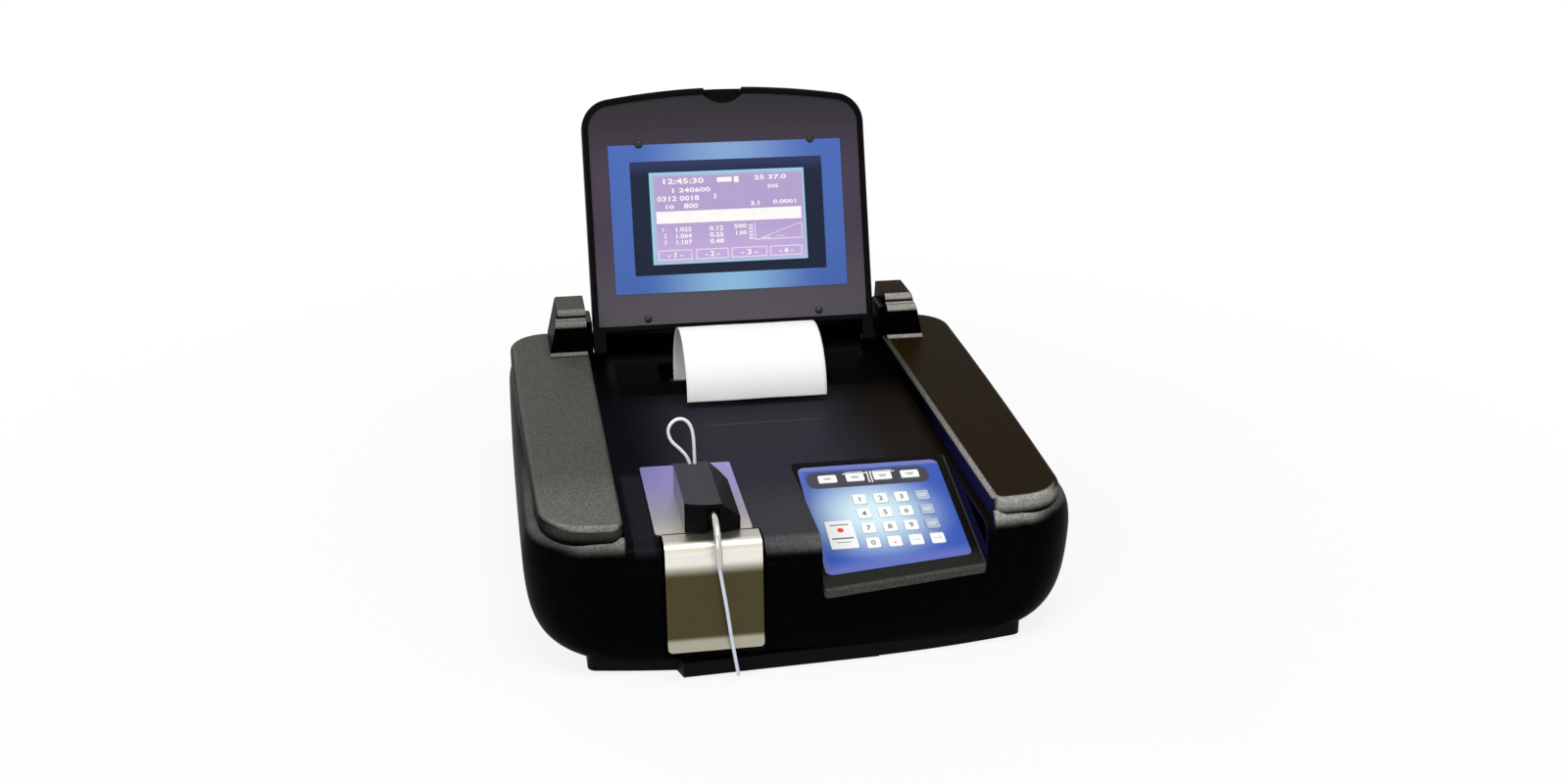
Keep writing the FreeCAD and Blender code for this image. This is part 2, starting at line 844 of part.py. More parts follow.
def base_screws():
    screws = []
    for x, y in boss_places():
        head = rod_z(x, y, (foot_height - base_screw_head, foot_height), base_screw_head_r)
        top = foot_height + pan_floor + base_screw_depth - part_gap
        shank = rod_z(x, y, (foot_height - running_gap, top), base_screw_r)
        screws.append(head.fuse(shank))
    return Part.makeCompound(screws)


def rear_panel():
    y = (rear_panel_y - rear_sheet, rear_panel_y)
    half = rear_window_x + rear_lap
    sheet_solid = box((-half, half), y, grown(rear_window_z, rear_lap))
    board_top = main_board_z + board_thickness
    through = grown(y, overrun)
    data = box(grown(data_socket_x, part_gap), through, grown((board_top, data_socket_top_z), part_gap))
    power = box(grown(power_socket_x, part_gap), through, grown((board_top, power_socket_top_z), part_gap))
    cup, hollow = rocker_cup()
    waste = rod_y(waste_x, through, waste_z, waste_r + part_gap)
    return sheet_solid.cut(data).cut(power).cut(waste).fuse(cup).cut(hollow).removeSplitter()


def rocker_cup():
    """Moulded cup behind the panel that holds the rocker, and its hollow with pivot holes."""
    back = rear_panel_y
    outer_x = about(rocker_x, rocker_size[0] + 2 * (rocker_wall + part_gap))
    outer_z = about(rocker_z, rocker_size[1] + 2 * (rocker_wall + part_gap))
    cup = box(outer_x, (back - rocker_cup_depth - rocker_wall, back + rocker_wall / 2), outer_z)
    hollow = box(about(rocker_x, rocker_size[0] + 2 * part_gap), (back - rocker_cup_depth, back + overrun),
                 about(rocker_z, rocker_size[1] + 2 * part_gap))
    pivot = rod_x(grown(outer_x, -rocker_wall / 2), rocker_pivot_y(), rocker_z, rocker_pin_r + running_gap)
    return cup, hollow.fuse(pivot)


def rocker_pivot_y():
    return rear_panel_y - rocker_cup_depth / 2


def power_rocker():
    """Rocker cap: a cylinder segment with two flat presses, tilted to its off side."""
    x = about(rocker_x, rocker_size[0])
    y = rocker_pivot_y()
    drum = rod_x(x, y, rocker_z, rocker_r)
    keep = box(x, (y, y + rocker_r), about(rocker_z, rocker_size[1] - rocker_wall))
    cap = drum.common(keep)
    dip = rod_x(grown(x, overrun), y + 2 * rocker_r, rocker_z, rocker_r + rocker_wall)
    cap = cap.cut(dip)
    hub = rod_x(x, y, rocker_z, rocker_pin_r + rocker_wall)
    pin = rod_x(grown(x, part_gap + rocker_wall / 2 - running_gap), y, rocker_z, rocker_pin_r)
    solid = joined([cap, hub, pin])
    solid.rotate(V(rocker_x, y, rocker_z), X, -rocker_tilt)
    return solid


def waste_fitting():
    """Hose stem through the rear panel, with a flange outside and a stub inside."""
    inside = rear_panel_y
    start = inside - rear_sheet - waste_flange
    flange = rod_y(waste_x, (inside, inside + waste_flange), waste_z, waste_flange_r)
    tip = inside + waste_flange + waste_length
    stem = rod_y(waste_x, (start, tip), waste_z, waste_r)
    nose = Part.makeCone(waste_r, waste_tip_r, waste_tip_length, V(waste_x, tip, waste_z), Y)
    bore = rod_y(waste_x, (start - overrun, tip + overrun), waste_z, waste_bore_r)
    return joined([flange, stem, nose]).cut(bore)


# Lid, built with X across, Y backwards through it and Z up it

def on_lid(shape):
    moved = shape.copy()
    moved.rotate(V(0, 0, 0), X, -lid_lean)
    moved.translate(V(0, lid_origin_y, lid_origin_z))
    return moved


def lid_outline(inset, w):
    """Outline of the lid: straight foot and sides, bowed top, drawn in by inset."""
    top_c, top_r = circle_of(V(-lid_shoulder_x, w, lid_shoulder_v), V(0, w, lid_height),
                             V(lid_shoulder_x, w, lid_shoulder_v))
    top_r = top_r - inset
    half = lid_half_width - inset
    r = lid_corner_r - inset
    f = max(lid_foot_r - inset, lid_inner_foot_r)
    p = V(half - r, w, top_c.z + math.sqrt((top_r - r) ** 2 - (half - r) ** 2))
    t1 = V(half, w, p.z)
    t2 = toward(top_c, p, top_r)
    corner = toward(p, (t1 + t2) * 0.5, r)
    foot = V(half - f, w, inset + f)
    f1 = V(half, w, foot.z)
    f2 = V(foot.x, w, inset)
    foot_corner = foot + V(f, 0, -f) * math.sqrt(0.5)

    def m(v):
        return V(-v.x, v.y, v.z)

    return Part.Wire([
        line(m(f2), f2), arc(f2, foot_corner, f1), line(f1, t1), arc(t1, corner, t2),
        arc(t2, V(0, w, lid_height - inset), m(t2)), arc(m(t2), m(corner), m(t1)), line(m(t1), m(f1)),
        arc(m(f1), m(foot_corner), m(f2))])


def lid_prism(inset, w):
    return prism(lid_outline(inset, w[0]), V(0, w[1] - w[0], 0))


def hinge_in_lid():
    """Hinge axis in the lid's own frame, as (backwards, up)."""
    lean = math.radians(lid_lean)
    dy = hinge_y - lid_origin_y
    dz = hinge_z - lid_origin_z
    return dy * math.cos(lean) - dz * math.sin(lean), dy * math.sin(lean) + dz * math.cos(lean)


def lid_ear():
    """Right ear that carries the hinge bore below the lid's foot."""
    w, v = hinge_in_lid()
    x = (lid_half_width - lid_ear_width, lid_half_width)
    barrel = rod_x(x, w, v, lid_ear_r)
    web = box(x, (w - lid_ear_r, w + lid_ear_r), (v, lid_rim))
    return barrel.fuse(web)


def notch_axis_v():
    r = (notch_half_width ** 2 + notch_depth ** 2) / (2 * notch_depth)
    return r, lid_height - notch_depth + r


def lid_bosses(w, r):
    return Part.makeCompound([rod_y(sx * bezel_screw_x, w, v, r) for v in bezel_screw_v for sx in (-1, 1)])


def lid_shell():
    outer = lid_prism(0, (lid_rim_w, lid_back_w))
    back = edges_at(outer, lambda p: abs(p.y - lid_back_w) < running_gap)
    outer = outer.makeFillet(lid_back_edge_r, back)
    front = edges_at(outer, lambda p: abs(p.y - lid_rim_w) < running_gap)
    outer = outer.makeFillet(-lid_rim_w, front)
    shell = outer.cut(lid_prism(lid_rim, (lid_rim_w - overrun, bezel_thickness)))
    shell = shell.cut(lid_prism(lid_rim + lid_ledge, (0, lid_back_w - wall)))
    r, v = notch_axis_v()
    fill = rod_y(0, (bezel_thickness, lid_back_w - wall), v, r + wall).common(outer)
    shell = shell.fuse(fill).cut(rod_y(0, (lid_rim_w - overrun, notch_back_w), v, r))
    ear = lid_ear()
    shell = shell.fuse(both_sides(ear))
    w, v = hinge_in_lid()
    bore = rod_x((lid_half_width - lid_ear_width - overrun, lid_half_width + overrun), w, v,
                 hinge_pin_r + running_gap)
    shell = shell.cut(both_sides(bore))
    shell = shell.fuse(lid_bosses((bezel_thickness, lid_back_w - wall), bezel_boss_r))
    shell = shell.cut(lid_bosses((0, lid_back_w - wall), bezel_screw_r + running_gap))
    return on_lid(shell.removeSplitter())


def lid_bezel():
    plate = lid_prism(lid_rim + part_gap, (0, bezel_thickness))
    r, v = notch_axis_v()
    plate = plate.cut(rod_y(0, (-overrun, overrun), v, r + wall + part_gap))
    recess = box(about(0, 2 * (overlay_half_width + part_gap)), (-overrun, overlay_recess),
                 grown(overlay_v, part_gap))
    half = screen_half_width + glass_margin + part_gap
    opening = box((-half, half), (-overrun, overrun), grown(screen_v, glass_margin + part_gap))
    holes = lid_bosses((-overrun, overrun), bezel_screw_r + part_gap / 2)
    return on_lid(plate.cut(recess).cut(opening).cut(holes))


def display_overlay():
    """Printed surround of the screen, lying in the bezel's recess."""
    w = (overlay_recess - overlay_thickness, overlay_recess)
    sheet_solid = box((-overlay_half_width, overlay_half_width), w, overlay_v)
    sheet_solid = sheet_solid.cut(box((-screen_half_width, screen_half_width), grown(w, overrun), screen_v))
    screws = lid_bosses((-overrun, overrun), bezel_screw_head_r + part_gap)
    return on_lid(sheet_solid.cut(screws))


def display_module():
    """Screen module: a case behind the bezel and a glass that stands up into its opening."""
    half = screen_half_width + module_margin
    depth = (bezel_thickness, bezel_thickness + module_depth)
    case = box((-half, half), depth, grown(screen_v, module_margin))
    half = screen_half_width + glass_margin
    glass = box((-half, half), (overlay_recess, bezel_thickness), grown(screen_v, glass_margin))
    return on_lid(joined([case, glass]))


def bezel_screws():
    """Four dome-headed screws with cross slots."""
    dome_r = (bezel_screw_head_r ** 2 + bezel_screw_head ** 2) / (2 * bezel_screw_head)
    screws = []
    for v in bezel_screw_v:
        for sx in (-1, 1):
            x = sx * bezel_screw_x
            dome = Part.makeSphere(dome_r, V(x, dome_r - bezel_screw_head, v))
            dome = dome.common(rod_y(x, (-bezel_screw_head, 0), v, bezel_screw_head_r))
            shank = rod_y(x, (-running_gap, lid_back_w - wall - part_gap), v, bezel_screw_r)
            slot = box(about(x, bezel_screw_head_r), (-bezel_screw_head, -bezel_screw_head / 2),
                       about(v, bezel_screw_head / 3))
            cross = box(about(x, bezel_screw_head / 3), (-bezel_screw_head, -bezel_screw_head / 2),
                        about(v, bezel_screw_head_r))
            screws.append(dome.fuse(shank).cut(slot).cut(cross))
    return on_lid(Part.makeCompound(screws))


def hinge_pins():
    pin = rod_x((lid_half_width - lid_ear_width, hinge_socket_x - wall), hinge_y, hinge_z, hinge_pin_r)
    return Part.makeCompound([pin, mirrored(pin)])


# Keypad

def tray_window():
    """The part of the tray, under the keys, that is open for the board: x and slope ranges."""
    left = menu_key_x - menu_key_size[0] / 2 - board_lap
    left = min(left, start_key_x - start_key_size[0] / 2 - board_lap)
    right = key_columns_x + (key_count - 1) * key_pitch_x + key_size[0] / 2 + board_lap
    back = -(menu_key_s - menu_key_size[1] / 2 - board_lap)
    front = -(key_rows_s + (key_count - 1) * key_pitch_s + key_size[1] / 2 + board_lap)
    return (left, right), (front, back)


def keypad_points(by, z):
    x = grown(keypad_x, by)
    return [V(x[0], -keypad_back + by, z), V(x[1], -keypad_back + by, z),
            V(x[1], -keypad_right_length - by, z), V(x[0], -keypad_left_length - by, z)]


def keypad_tray():
    tray = tray_block(0, -tray_thickness, 0)
    recess = rounded_polygon(keypad_points(part_gap, -keypad_recess), keypad_corner_r, V(0, 0, overrun))
    x, s = tray_window()
    window = box(x, s, (-tray_thickness - overrun, overrun))
    pocket = box(grown(x, board_lap + part_gap), grown(s, board_lap + part_gap),
                 (-tray_thickness - overrun, -board_depth))
    return tray.cut(on_tray(recess)).cut(on_tray(window)).cut(on_tray(pocket))


def keypad_board():
    x, s = tray_window()
    z = (-board_depth - board_thickness, -board_depth)
    return on_tray(box(grown(x, board_lap), grown(s, board_lap), z))


def key_table():
    """Every key as name, middle x, distance down the slope, and size."""
    table = []
    for i in range(key_count):
        table.append(("menu_key_%d" % (i + 1), menu_key_x + i * menu_key_pitch, menu_key_s, menu_key_size))
    names = (("key_1", "key_2", "key_3", "side_key_1"), ("key_4", "key_5", "key_6", "side_key_2"),
             ("key_7", "key_8", "key_9", "side_key_3"), ("key_0", "key_point", "key_clear", "key_enter"))
    for j, row in enumerate(names):
        for i, name in enumerate(row):
            table.append((name, key_columns_x + i * key_pitch_x, key_rows_s + j * key_pitch_s, key_size))
    table.append(("start_key", start_key_x, start_key_s, start_key_size))
    return table


def key_solid(x, s, size):
    low = -board_depth + key_travel + key_underlap
    high = -keypad_recess + keypad_skin + key_proud
    return on_tray(rounded_box(about(x, size[0]), about(-s, size[1]), (low, high), key_corner_r))


def keypad_overlay():
    skin = rounded_polygon(keypad_points(0, -keypad_recess), keypad_corner_r, V(0, 0, keypad_skin))
    for name, x, s, size in key_table():
        hole = rounded_box(about(x, size[0] + 2 * key_gap), about(-s, size[1] + 2 * key_gap),
                           (-overrun, overrun), key_corner_r + key_gap)
        skin = skin.cut(hole)
    return on_tray(skin)


# Stainless sheets, sample switch and spring

def flow_cell_plate():
    """Flat stainless sheet on the deck, with the hole that the flow cell's stem goes through."""
    plate = rounded_box(sheet_x, sheet_y, (deck_z, deck_z + sheet), sheet_corner_r)
    hole = box(grown(stem_x, stem_gap), grown(stem_y, stem_gap), (deck_z - overrun, deck_z + overrun))
    return plate.cut(hole)


def trigger_profile():
    """Side view of the trigger sheet's outer face: flange, bend, leaning face and flared foot."""
    top = deck_z + sheet
    r = trigger_bend_r
    lean = math.radians(trigger_lean)
    centre = V(0, trigger_bend_y, top - r)
    start = V(0, trigger_back_y, top)
    bend_in = V(0, trigger_bend_y, top)
    bend_out = centre + V(0, -math.cos(lean), math.sin(lean)) * r
    half = math.radians(90 - trigger_lean) / 2
    bend_mid = centre + V(0, -math.sin(half), math.cos(half)) * r
    drop = bend_out.z - trigger_face_bottom_z
    foot = V(0, bend_out.y - drop * math.tan(lean), trigger_face_bottom_z)
    tip = V(0, foot.y - trigger_flare, trigger_bottom_z)
    return centre, start, bend_in, bend_mid, bend_out, foot, tip


def trigger_plate():
    """Bent stainless trigger with two ears that hang on the housing's pivot stubs."""
    centre, start, bend_in, bend_mid, bend_out, foot, tip = trigger_profile()
    inner_mid = toward(bend_mid, centre, sheet)
    inner_out = toward(bend_out, centre, sheet)
    shift = inner_out - bend_out
    down = V(0, 0, -sheet)
    wire = Part.Wire([
        line(start, bend_in), arc(bend_in, bend_mid, bend_out), line(bend_out, foot), line(foot, tip),
        line(tip, tip + shift), line(tip + shift, foot + shift), line(foot + shift, inner_out),
        arc(inner_out, inner_mid, bend_in + down), line(bend_in + down, start + down),
        line(start + down, start)])
    wire.translate(V(trigger_x[0], 0, 0))
    plate = prism(wire, V(trigger_x[1] - trigger_x[0], 0, 0))
    corners = [e for e in plate.Edges if abs(e.Length - sheet) < running_gap
               and all(v.Z < trigger_bottom_z + sheet for v in e.Vertexes)]
    plate = plate.makeFillet(trigger_corner_r, corners)
    for left in (trigger_x[0] + trigger_ear_inset, trigger_x[1] - trigger_ear_inset - sheet):
        x = (left, left + sheet)
        ear = rod_x(x, trigger_pivot_y, trigger_pivot_z, trigger_ear_r)
        web = box(x, (trigger_pivot_y - trigger_ear_r, trigger_pivot_y + trigger_ear_r),
                  (trigger_pivot_z, deck_z + sheet / 2))
        hole = rod_x(grown(x, overrun), trigger_pivot_y, trigger_pivot_z, trigger_pin_r + running_gap)
        plate = plate.fuse(ear).fuse(web).cut(hole)
    return plate.removeSplitter()


def plate_inner_y(z):
    """Y of the trigger plate's inner face at height z."""
    centre, start, bend_in, bend_mid, bend_out, foot, tip = trigger_profile()
    lean = math.radians(trigger_lean)
    return bend_out.y - (bend_out.z - z) * math.tan(lean) + sheet / math.cos(lean)


def trigger_switch():
    """Small switch behind the recess wall; its plunger reaches through to the trigger plate."""
    back = recess_back_y + wall
    y = (back, back + switch_size[1])
    body = box(about(switch_x, switch_size[0]), y, about(switch_z, switch_size[2]))
    tip = plate_inner_y(switch_z) + part_gap + switch_plunger_r * math.tan(math.radians(trigger_lean))
    tip = tip + switch_travel()
    plunger = rod_y(switch_x, (tip, back + running_gap), switch_z, switch_plunger_r)
    return body.fuse(plunger)


def switch_travel():
    """How far the plate moves at the plunger's height before it meets the plunger's end."""
    return (trigger_pivot_z - switch_z) * math.sin(math.radians(trigger_throw))


def trigger_spring():
    """Return spring between the recess's back wall and the trigger plate, as one coiled wire."""
    start = plate_inner_y(spring_z) + spring_seat + spring_wire
    end = recess_back_y - spring_seat - spring_wire / 2
    pitch = (end - start) / spring_turns
    helix = Part.makeHelix(pitch, end - start, spring_r)
    section = Part.Wire([Part.Circle(V(spring_r, 0, 0), Y, spring_wire / 2).toShape()])
    coil = Part.Wire(helix.Edges).makePipeShell([section], True, False)
    coil.rotate(V(0, 0, 0), X, -90)
    coil.translate(V(spring_x, start, spring_z))
    return coil


# Flow cell block, its sleeve and its tubes

def flow_cell_block():
    """Black block with a bowed nose, a sloped right shoulder and a stem that goes into the optics."""
    x, y, z = block_x, block_y, block_z
    nose = V(middle_of(x), y[0] - block_nose, z[0])
    wire = Part.Wire([
        arc(V(x[0], y[0], z[0]), nose, V(x[1], y[0], z[0])),
        line(V(x[1], y[0], z[0]), V(x[1], y[1] - block_back_cut, z[0])),
        line(V(x[1], y[1] - block_back_cut, z[0]), V(x[1] - block_back_cut, y[1], z[0])),
        line(V(x[1] - block_back_cut, y[1], z[0]), V(x[0], y[1], z[0])),
        line(V(x[0], y[1], z[0]), V(x[0], y[0], z[0]))])
    block = prism(wire, V(0, 0, z[1] - z[0]))
    far = x[1] + overrun
    fall = block_chamfer_z / block_chamfer_x * overrun
    front = y[0] - overrun
    shoulder = polygon([V(x[1] - block_chamfer_x, front, z[1]), V(far, front, z[1] - block_chamfer_z - fall),
                        V(far, front, z[1] + overrun), V(x[1] - block_chamfer_x, front, z[1] + overrun)],
                       V(0, y[1] - y[0] + 2 * overrun, 0))
    block = block.cut(shoulder)
    slot = box(about(block_slot_x, block_slot_width), (y[0] - overrun, y[0] + block_slot_depth - block_nose),
               (z[0] - overrun, z[1] - wall))
    block = block.cut(slot)
    stem = box(stem_x, stem_y, (stem_z, z[0] + running_gap))
    beam = rod_x(grown(stem_x, overrun), beam_y, beam_z, beam_r)
    sleeve_x, sleeve_y, sleeve_z = sleeve_route[0]
    socket = rod_y(sleeve_x, (y[0] - overrun, sleeve_y), sleeve_z, sleeve_r + running_gap)
    return joined([block, stem]).cut(beam).cut(socket)


def routed_tube(route, diameter, label):
    """Tube of straight runs joined by tangent arcs, each as large as its two runs allow."""
    points = [V(*p) for p in route]
    edges = []
    here = points[0]
    radii = []
    for before, corner, after in zip(points, points[1:], points[2:]):
        way_in = corner - before
        way_out = after - corner
        turn = way_in.getAngle(way_out)
        back_off = arc_share * min(way_in.Length, way_out.Length)
        radius = back_off / math.tan(turn / 2)
        radii.append(radius)
        start = toward(corner, before, back_off)
        end = toward(corner, after, back_off)
        bisector = (start + end) * 0.5 - corner
        centre = corner + bisector * (1 / bisector.Length) * math.hypot(radius, back_off)
        mid = toward(centre, corner, radius)
        edges += [line(here, start), arc(start, mid, end)]
        here = end
    edges.append(line(here, points[-1]))
    path = Part.Wire(edges)
    first = points[1] - points[0]
    section = Part.Wire([Part.Circle(points[0], first, diameter / 2).toShape()])
    tube = path.makePipeShell([section], True, False)
    length = sum(e.Length for e in edges)
    solid_share = tube.Volume / (math.pi * diameter ** 2 / 4 * length)
    bends = ["%.1f" % r for r in radii]
    print(label, "length %.1f" % length, "radii", bends, "volume share %.4f" % solid_share)
    return tube


def sipper_sleeve():
    return routed_tube(sleeve_route, 2 * sleeve_r, "sipper_sleeve")


def sipper_tube():
    return routed_tube(sipper_route, tube_d, "sipper_tube")


def loop_tube():
    return routed_tube(loop_route, loop_d, "loop_tube")


# Printer

def printer_cover():
    """Cover of the printer: a sheet with a dished pocket and the paper slot in its floor."""
    half = cover_half_width
    panel = rounded_box((-half, half), cover_y, (deck_z - cover_sheet, deck_z), cover_corner_r)
    hole_y = grown(cover_y, -cover_ledge - part_gap)
    outer_half = dish_half_width + cover_sheet
    dish = rounded_box((-outer_half, outer_half), hole_y, (dish_floor_z - cover_sheet, deck_z - running_gap),
                       dish_corner_r + cover_sheet)
    inner = rounded_box((-dish_half_width, dish_half_width), grown(hole_y, -cover_sheet),
                        (dish_floor_z, deck_z + overrun), dish_corner_r)
    z = (dish_floor_z - overrun, dish_floor_z + overrun / 2)
    slot = box((-slot_half_width, slot_half_width), slot_y, z)
    return panel.fuse(dish).cut(inner).cut(slot).removeSplitter()


def gear(teeth, x, y, z, bore, phase):
    """Spur gear about an axis along X, with straight-sided teeth narrower than their gaps."""
    pitch_r = teeth * gear_module / 2
    tip_r = pitch_r + gear_module * addendum_share
    root_r = pitch_r - gear_module * dedendum_share
    step = 2 * math.pi / teeth
    points = []
    for i in range(teeth):
        middle = phase + i * step
        flank = ((root_r, tooth_root_share), (pitch_r, tooth_share), (tip_r, tooth_tip_share))
        points += [(r, middle - half * step) for r, half in flank]
        points += [(r, middle + half * step) for r, half in flank[::-1]]
    ring = [V(x[0], y + r * math.cos(a), z + r * math.sin(a)) for r, a in points]
    return polygon(ring, V(x[1] - x[0], 0, 0)).cut(rod_x(grown(x, overrun), y, z, bore))


def gear_span():
    start = printer_half_width + gear_side_gap
    return (start, start + gear_width)


def pinion_z():
    return platen_z - gear_module * (gear_teeth + pinion_teeth) / 2


def platen_roller():
    """Rubber platen on its shaft, with the drive gear at the right end."""
    x = gear_span()
    roller = rod_x((-platen_half_width, platen_half_width), platen_y, platen_z, platen_r)
    shaft = rod_x((-printer_half_width - gear_side_gap, x[1]), platen_y, platen_z, platen_shaft_r)
    drive = gear(gear_teeth, x, platen_y, platen_z, platen_shaft_r - running_gap, -math.pi / 2)
    return joined([roller, shaft, drive])


def motor_pinion():
    x = gear_span()
    half_tooth = math.pi / pinion_teeth
    turn = math.pi / 2 + half_tooth
    drive = gear(pinion_teeth, x, platen_y, pinion_z(), motor_shaft_r - running_gap, turn)
    shaft = rod_x((printer_half_width - printer_plate - overrun, x[1]), platen_y, pinion_z(), motor_shaft_r)
    return joined([drive, shaft])


def printer_motor():
    end = printer_half_width - printer_plate
    body = rod_x((end - motor_length, end), platen_y, pinion_z(), motor_r)
    x = (end - overrun - part_gap, end + overrun)
    bore = rod_x(x, platen_y, pinion_z(), motor_shaft_r + running_gap)
    return body.cut(bore)


def printer_mechanism():
    """Frame of the printer with its floor, side plates, roll cheeks and the print head."""
    z = (printer_z[0], printer_z[0] + printer_plate)
    floor = box((-printer_half_width, printer_half_width), printer_y, z)
    pieces = [floor]
    for sx in (-1, 1):
        side = sorted((sx * printer_half_width, sx * (printer_half_width - printer_plate)))
        pieces.append(box(side, printer_y, printer_z))
        start = roll_half_width + roll_side_gap
        cheek = sorted((sx * start, sx * (start + printer_plate)))
        pieces.append(box(cheek, cheek_y, (printer_z[0], printer_z[0] + cheek_height)))
    head_y = (paper_y - paper_thickness - head_thickness, paper_y - paper_thickness)
    inner = printer_half_width - printer_plate + running_gap
    pieces.append(box((-inner, inner), head_y, about(platen_z, head_height)))
    frame = joined(pieces)
    reach = printer_half_width + overrun
    frame = frame.cut(rod_x((-reach, reach), platen_y, platen_z, platen_shaft_r + running_gap))
    return frame.cut(rod_x((0, reach), platen_y, pinion_z(), motor_shaft_r + part_gap))


def roll_z():
    return printer_z[0] + printer_plate + part_gap + roll_r


def paper_roll():
    x = (-roll_half_width, roll_half_width)
    return rod_x(x, roll_y, roll_z(), roll_r).cut(rod_x(grown(x, overrun), roll_y, roll_z(), roll_core_r))


def paper_curve(off):
    """Edges of the paper's side view, moved outwards from its middle by off, and its two ends."""
    c = V(0, paper_curl_y, paper_curl_z)
    r = paper_curl_r
    gap_y = paper_y - paper_curl_y
    rise = paper_curl_z - paper_rise_z
    big = (gap_y ** 2 + rise ** 2 - r ** 2) / (2 * (gap_y - r))
    b = V(0, paper_y - big, paper_rise_z)
    unit = (c - b) * (1 / (c - b).Length)
    join_angle = math.atan2(unit.z, unit.y)
    end_angle = math.pi + math.radians(paper_end_turn)

    def at(centre, radius, angle):
        return centre + V(0, math.cos(angle), math.sin(angle)) * radius

    big = big + off
    r = r + off
    foot = V(0, paper_y + off, paper_bottom_z)
    rise_end = at(b, big, 0)
    join = at(c, r, join_angle)
    end = at(c, r, end_angle)
    edges = [line(foot, rise_end), arc(rise_end, at(b, big, join_angle / 2), join),
             arc(join, at(c, r, (join_angle + end_angle) / 2), end)]
    return edges, foot, end


def paper_strip():
    outer, outer_foot, outer_end = paper_curve(paper_thickness / 2)
    inner, inner_foot, inner_end = paper_curve(-paper_thickness / 2)
    wire = Part.Wire(outer + [line(outer_end, inner_end)] + inner[::-1] + [line(inner_foot, outer_foot)])
    wire.translate(V(-paper_half_width, 0, 0))
    return prism(wire, V(2 * paper_half_width, 0, 0))


# Photometer, pump and electronics

def optics_block():
    """Photometer body with its bench plate, end plate, flow cell well and light channel."""
    block = box(optics_x, optics_y, optics_z)
    plate = box((bench_left_x, optics_x[1]), optics_y, (optics_z[0] - bench_sheet, optics_z[0]))
    end_z = (optics_z[0], beam_z + lamp_r + bench_sheet)
    end = box((bench_left_x, bench_left_x + bench_sheet), optics_y, end_z)
    block = joined([block, plate, end])
    well = box(grown(stem_x, stem_gap), grown(stem_y, stem_gap), (stem_z - 2 * stem_gap, deck_z + overrun))
    channel = rod_x((optics_x[0] - overrun, optics_x[1] + overrun), beam_y, beam_z, beam_r)
    slot = box(about(wheel_x, wheel_thickness + 2 * wheel_side_gap), about(beam_y, 2 * wheel_r),
               (optics_z[0] - bench_sheet - overrun, optics_z[0]))
    return block.cut(well).cut(channel).cut(slot)


def filter_wheel():
    """Wheel of filters on the shaft that the filter motor turns."""
    x = about(wheel_x, wheel_thickness)
    wheel = rod_x(x, beam_y, wheel_z, wheel_r)
    for i in range(filter_count):
        a = 2 * math.pi * i / filter_count + math.pi / 2
        spot_y = beam_y + filter_pitch_r * math.cos(a)
        spot_z = wheel_z + filter_pitch_r * math.sin(a)
        wheel = wheel.cut(rod_x(grown(x, overrun), spot_y, spot_z, filter_r))
    shaft = rod_x((filter_motor_x[1] - overrun, x[1]), beam_y, wheel_z, filter_shaft_r)
    return joined([wheel, shaft])


def filter_motor():
    body = rod_x(filter_motor_x, beam_y, wheel_z, filter_motor_r)
    bore = rod_x((filter_motor_x[1] - overrun - part_gap, filter_motor_x[1] + overrun), beam_y, wheel_z,
                 filter_shaft_r + running_gap)
    return body.cut(bore)


def lamp():
    """Lamp: a metal base on the end plate and a glass bulb pointing at the filters."""
    base = rod_x(lamp_x, beam_y, beam_z, lamp_r)
    bulb = rod_x((lamp_x[1] - running_gap, lamp_glass_x - lamp_glass_r), beam_y, beam_z, lamp_glass_r)
    tip = Part.makeSphere(lamp_glass_r, V(lamp_glass_x - lamp_glass_r, beam_y, beam_z))
    return joined([base, bulb, tip])


def detector_board():
    x = (optics_x[1], optics_x[1] + detector_board_size[0])
    board = box(x, about(beam_y, detector_board_size[1]), about(beam_z, detector_board_size[2]))
    eye = rod_x((optics_x[1] - detector_length, x[0] + running_gap), beam_y, beam_z, detector_r)
    return joined([board, eye])


def pump_housing():
    """Pump cup closed by the flange of the gear motor that stands on it."""
    cup = rod_z(pump_x, pump_y, pump_cup_z, pump_r)
    motor = rod_z(pump_x, pump_y, (pump_cup_z[1] - running_gap, pump_motor_top_z), pump_motor_r)
    body = joined([cup, motor])
    hollow = rod_z(pump_x, pump_y, (pump_cup_z[0] + wall, pump_cup_z[1] - wall / 2), pump_bore_r)
    z = (pump_cup_z[0] + wall, rotor_shaft_top_z + part_gap)
    bore = rod_z(pump_x, pump_y, z, rotor_shaft_r + running_gap)
    return body.cut(hollow).cut(bore)


def pump_rotor():
    hub = rod_z(pump_x, pump_y, rotor_z, rotor_r)
    shaft = rod_z(pump_x, pump_y, (rotor_z[0], rotor_shaft_top_z), rotor_shaft_r)
    pieces = [hub, shaft]
    for i in range(roller_count):
        a = 2 * math.pi * i / roller_count
        x = pump_x + roller_pitch_r * math.cos(a)
        y = pump_y + roller_pitch_r * math.sin(a)
        pieces.append(rod_z(x, y, grown(rotor_z, -running_gap), roller_r))
    return joined(pieces)


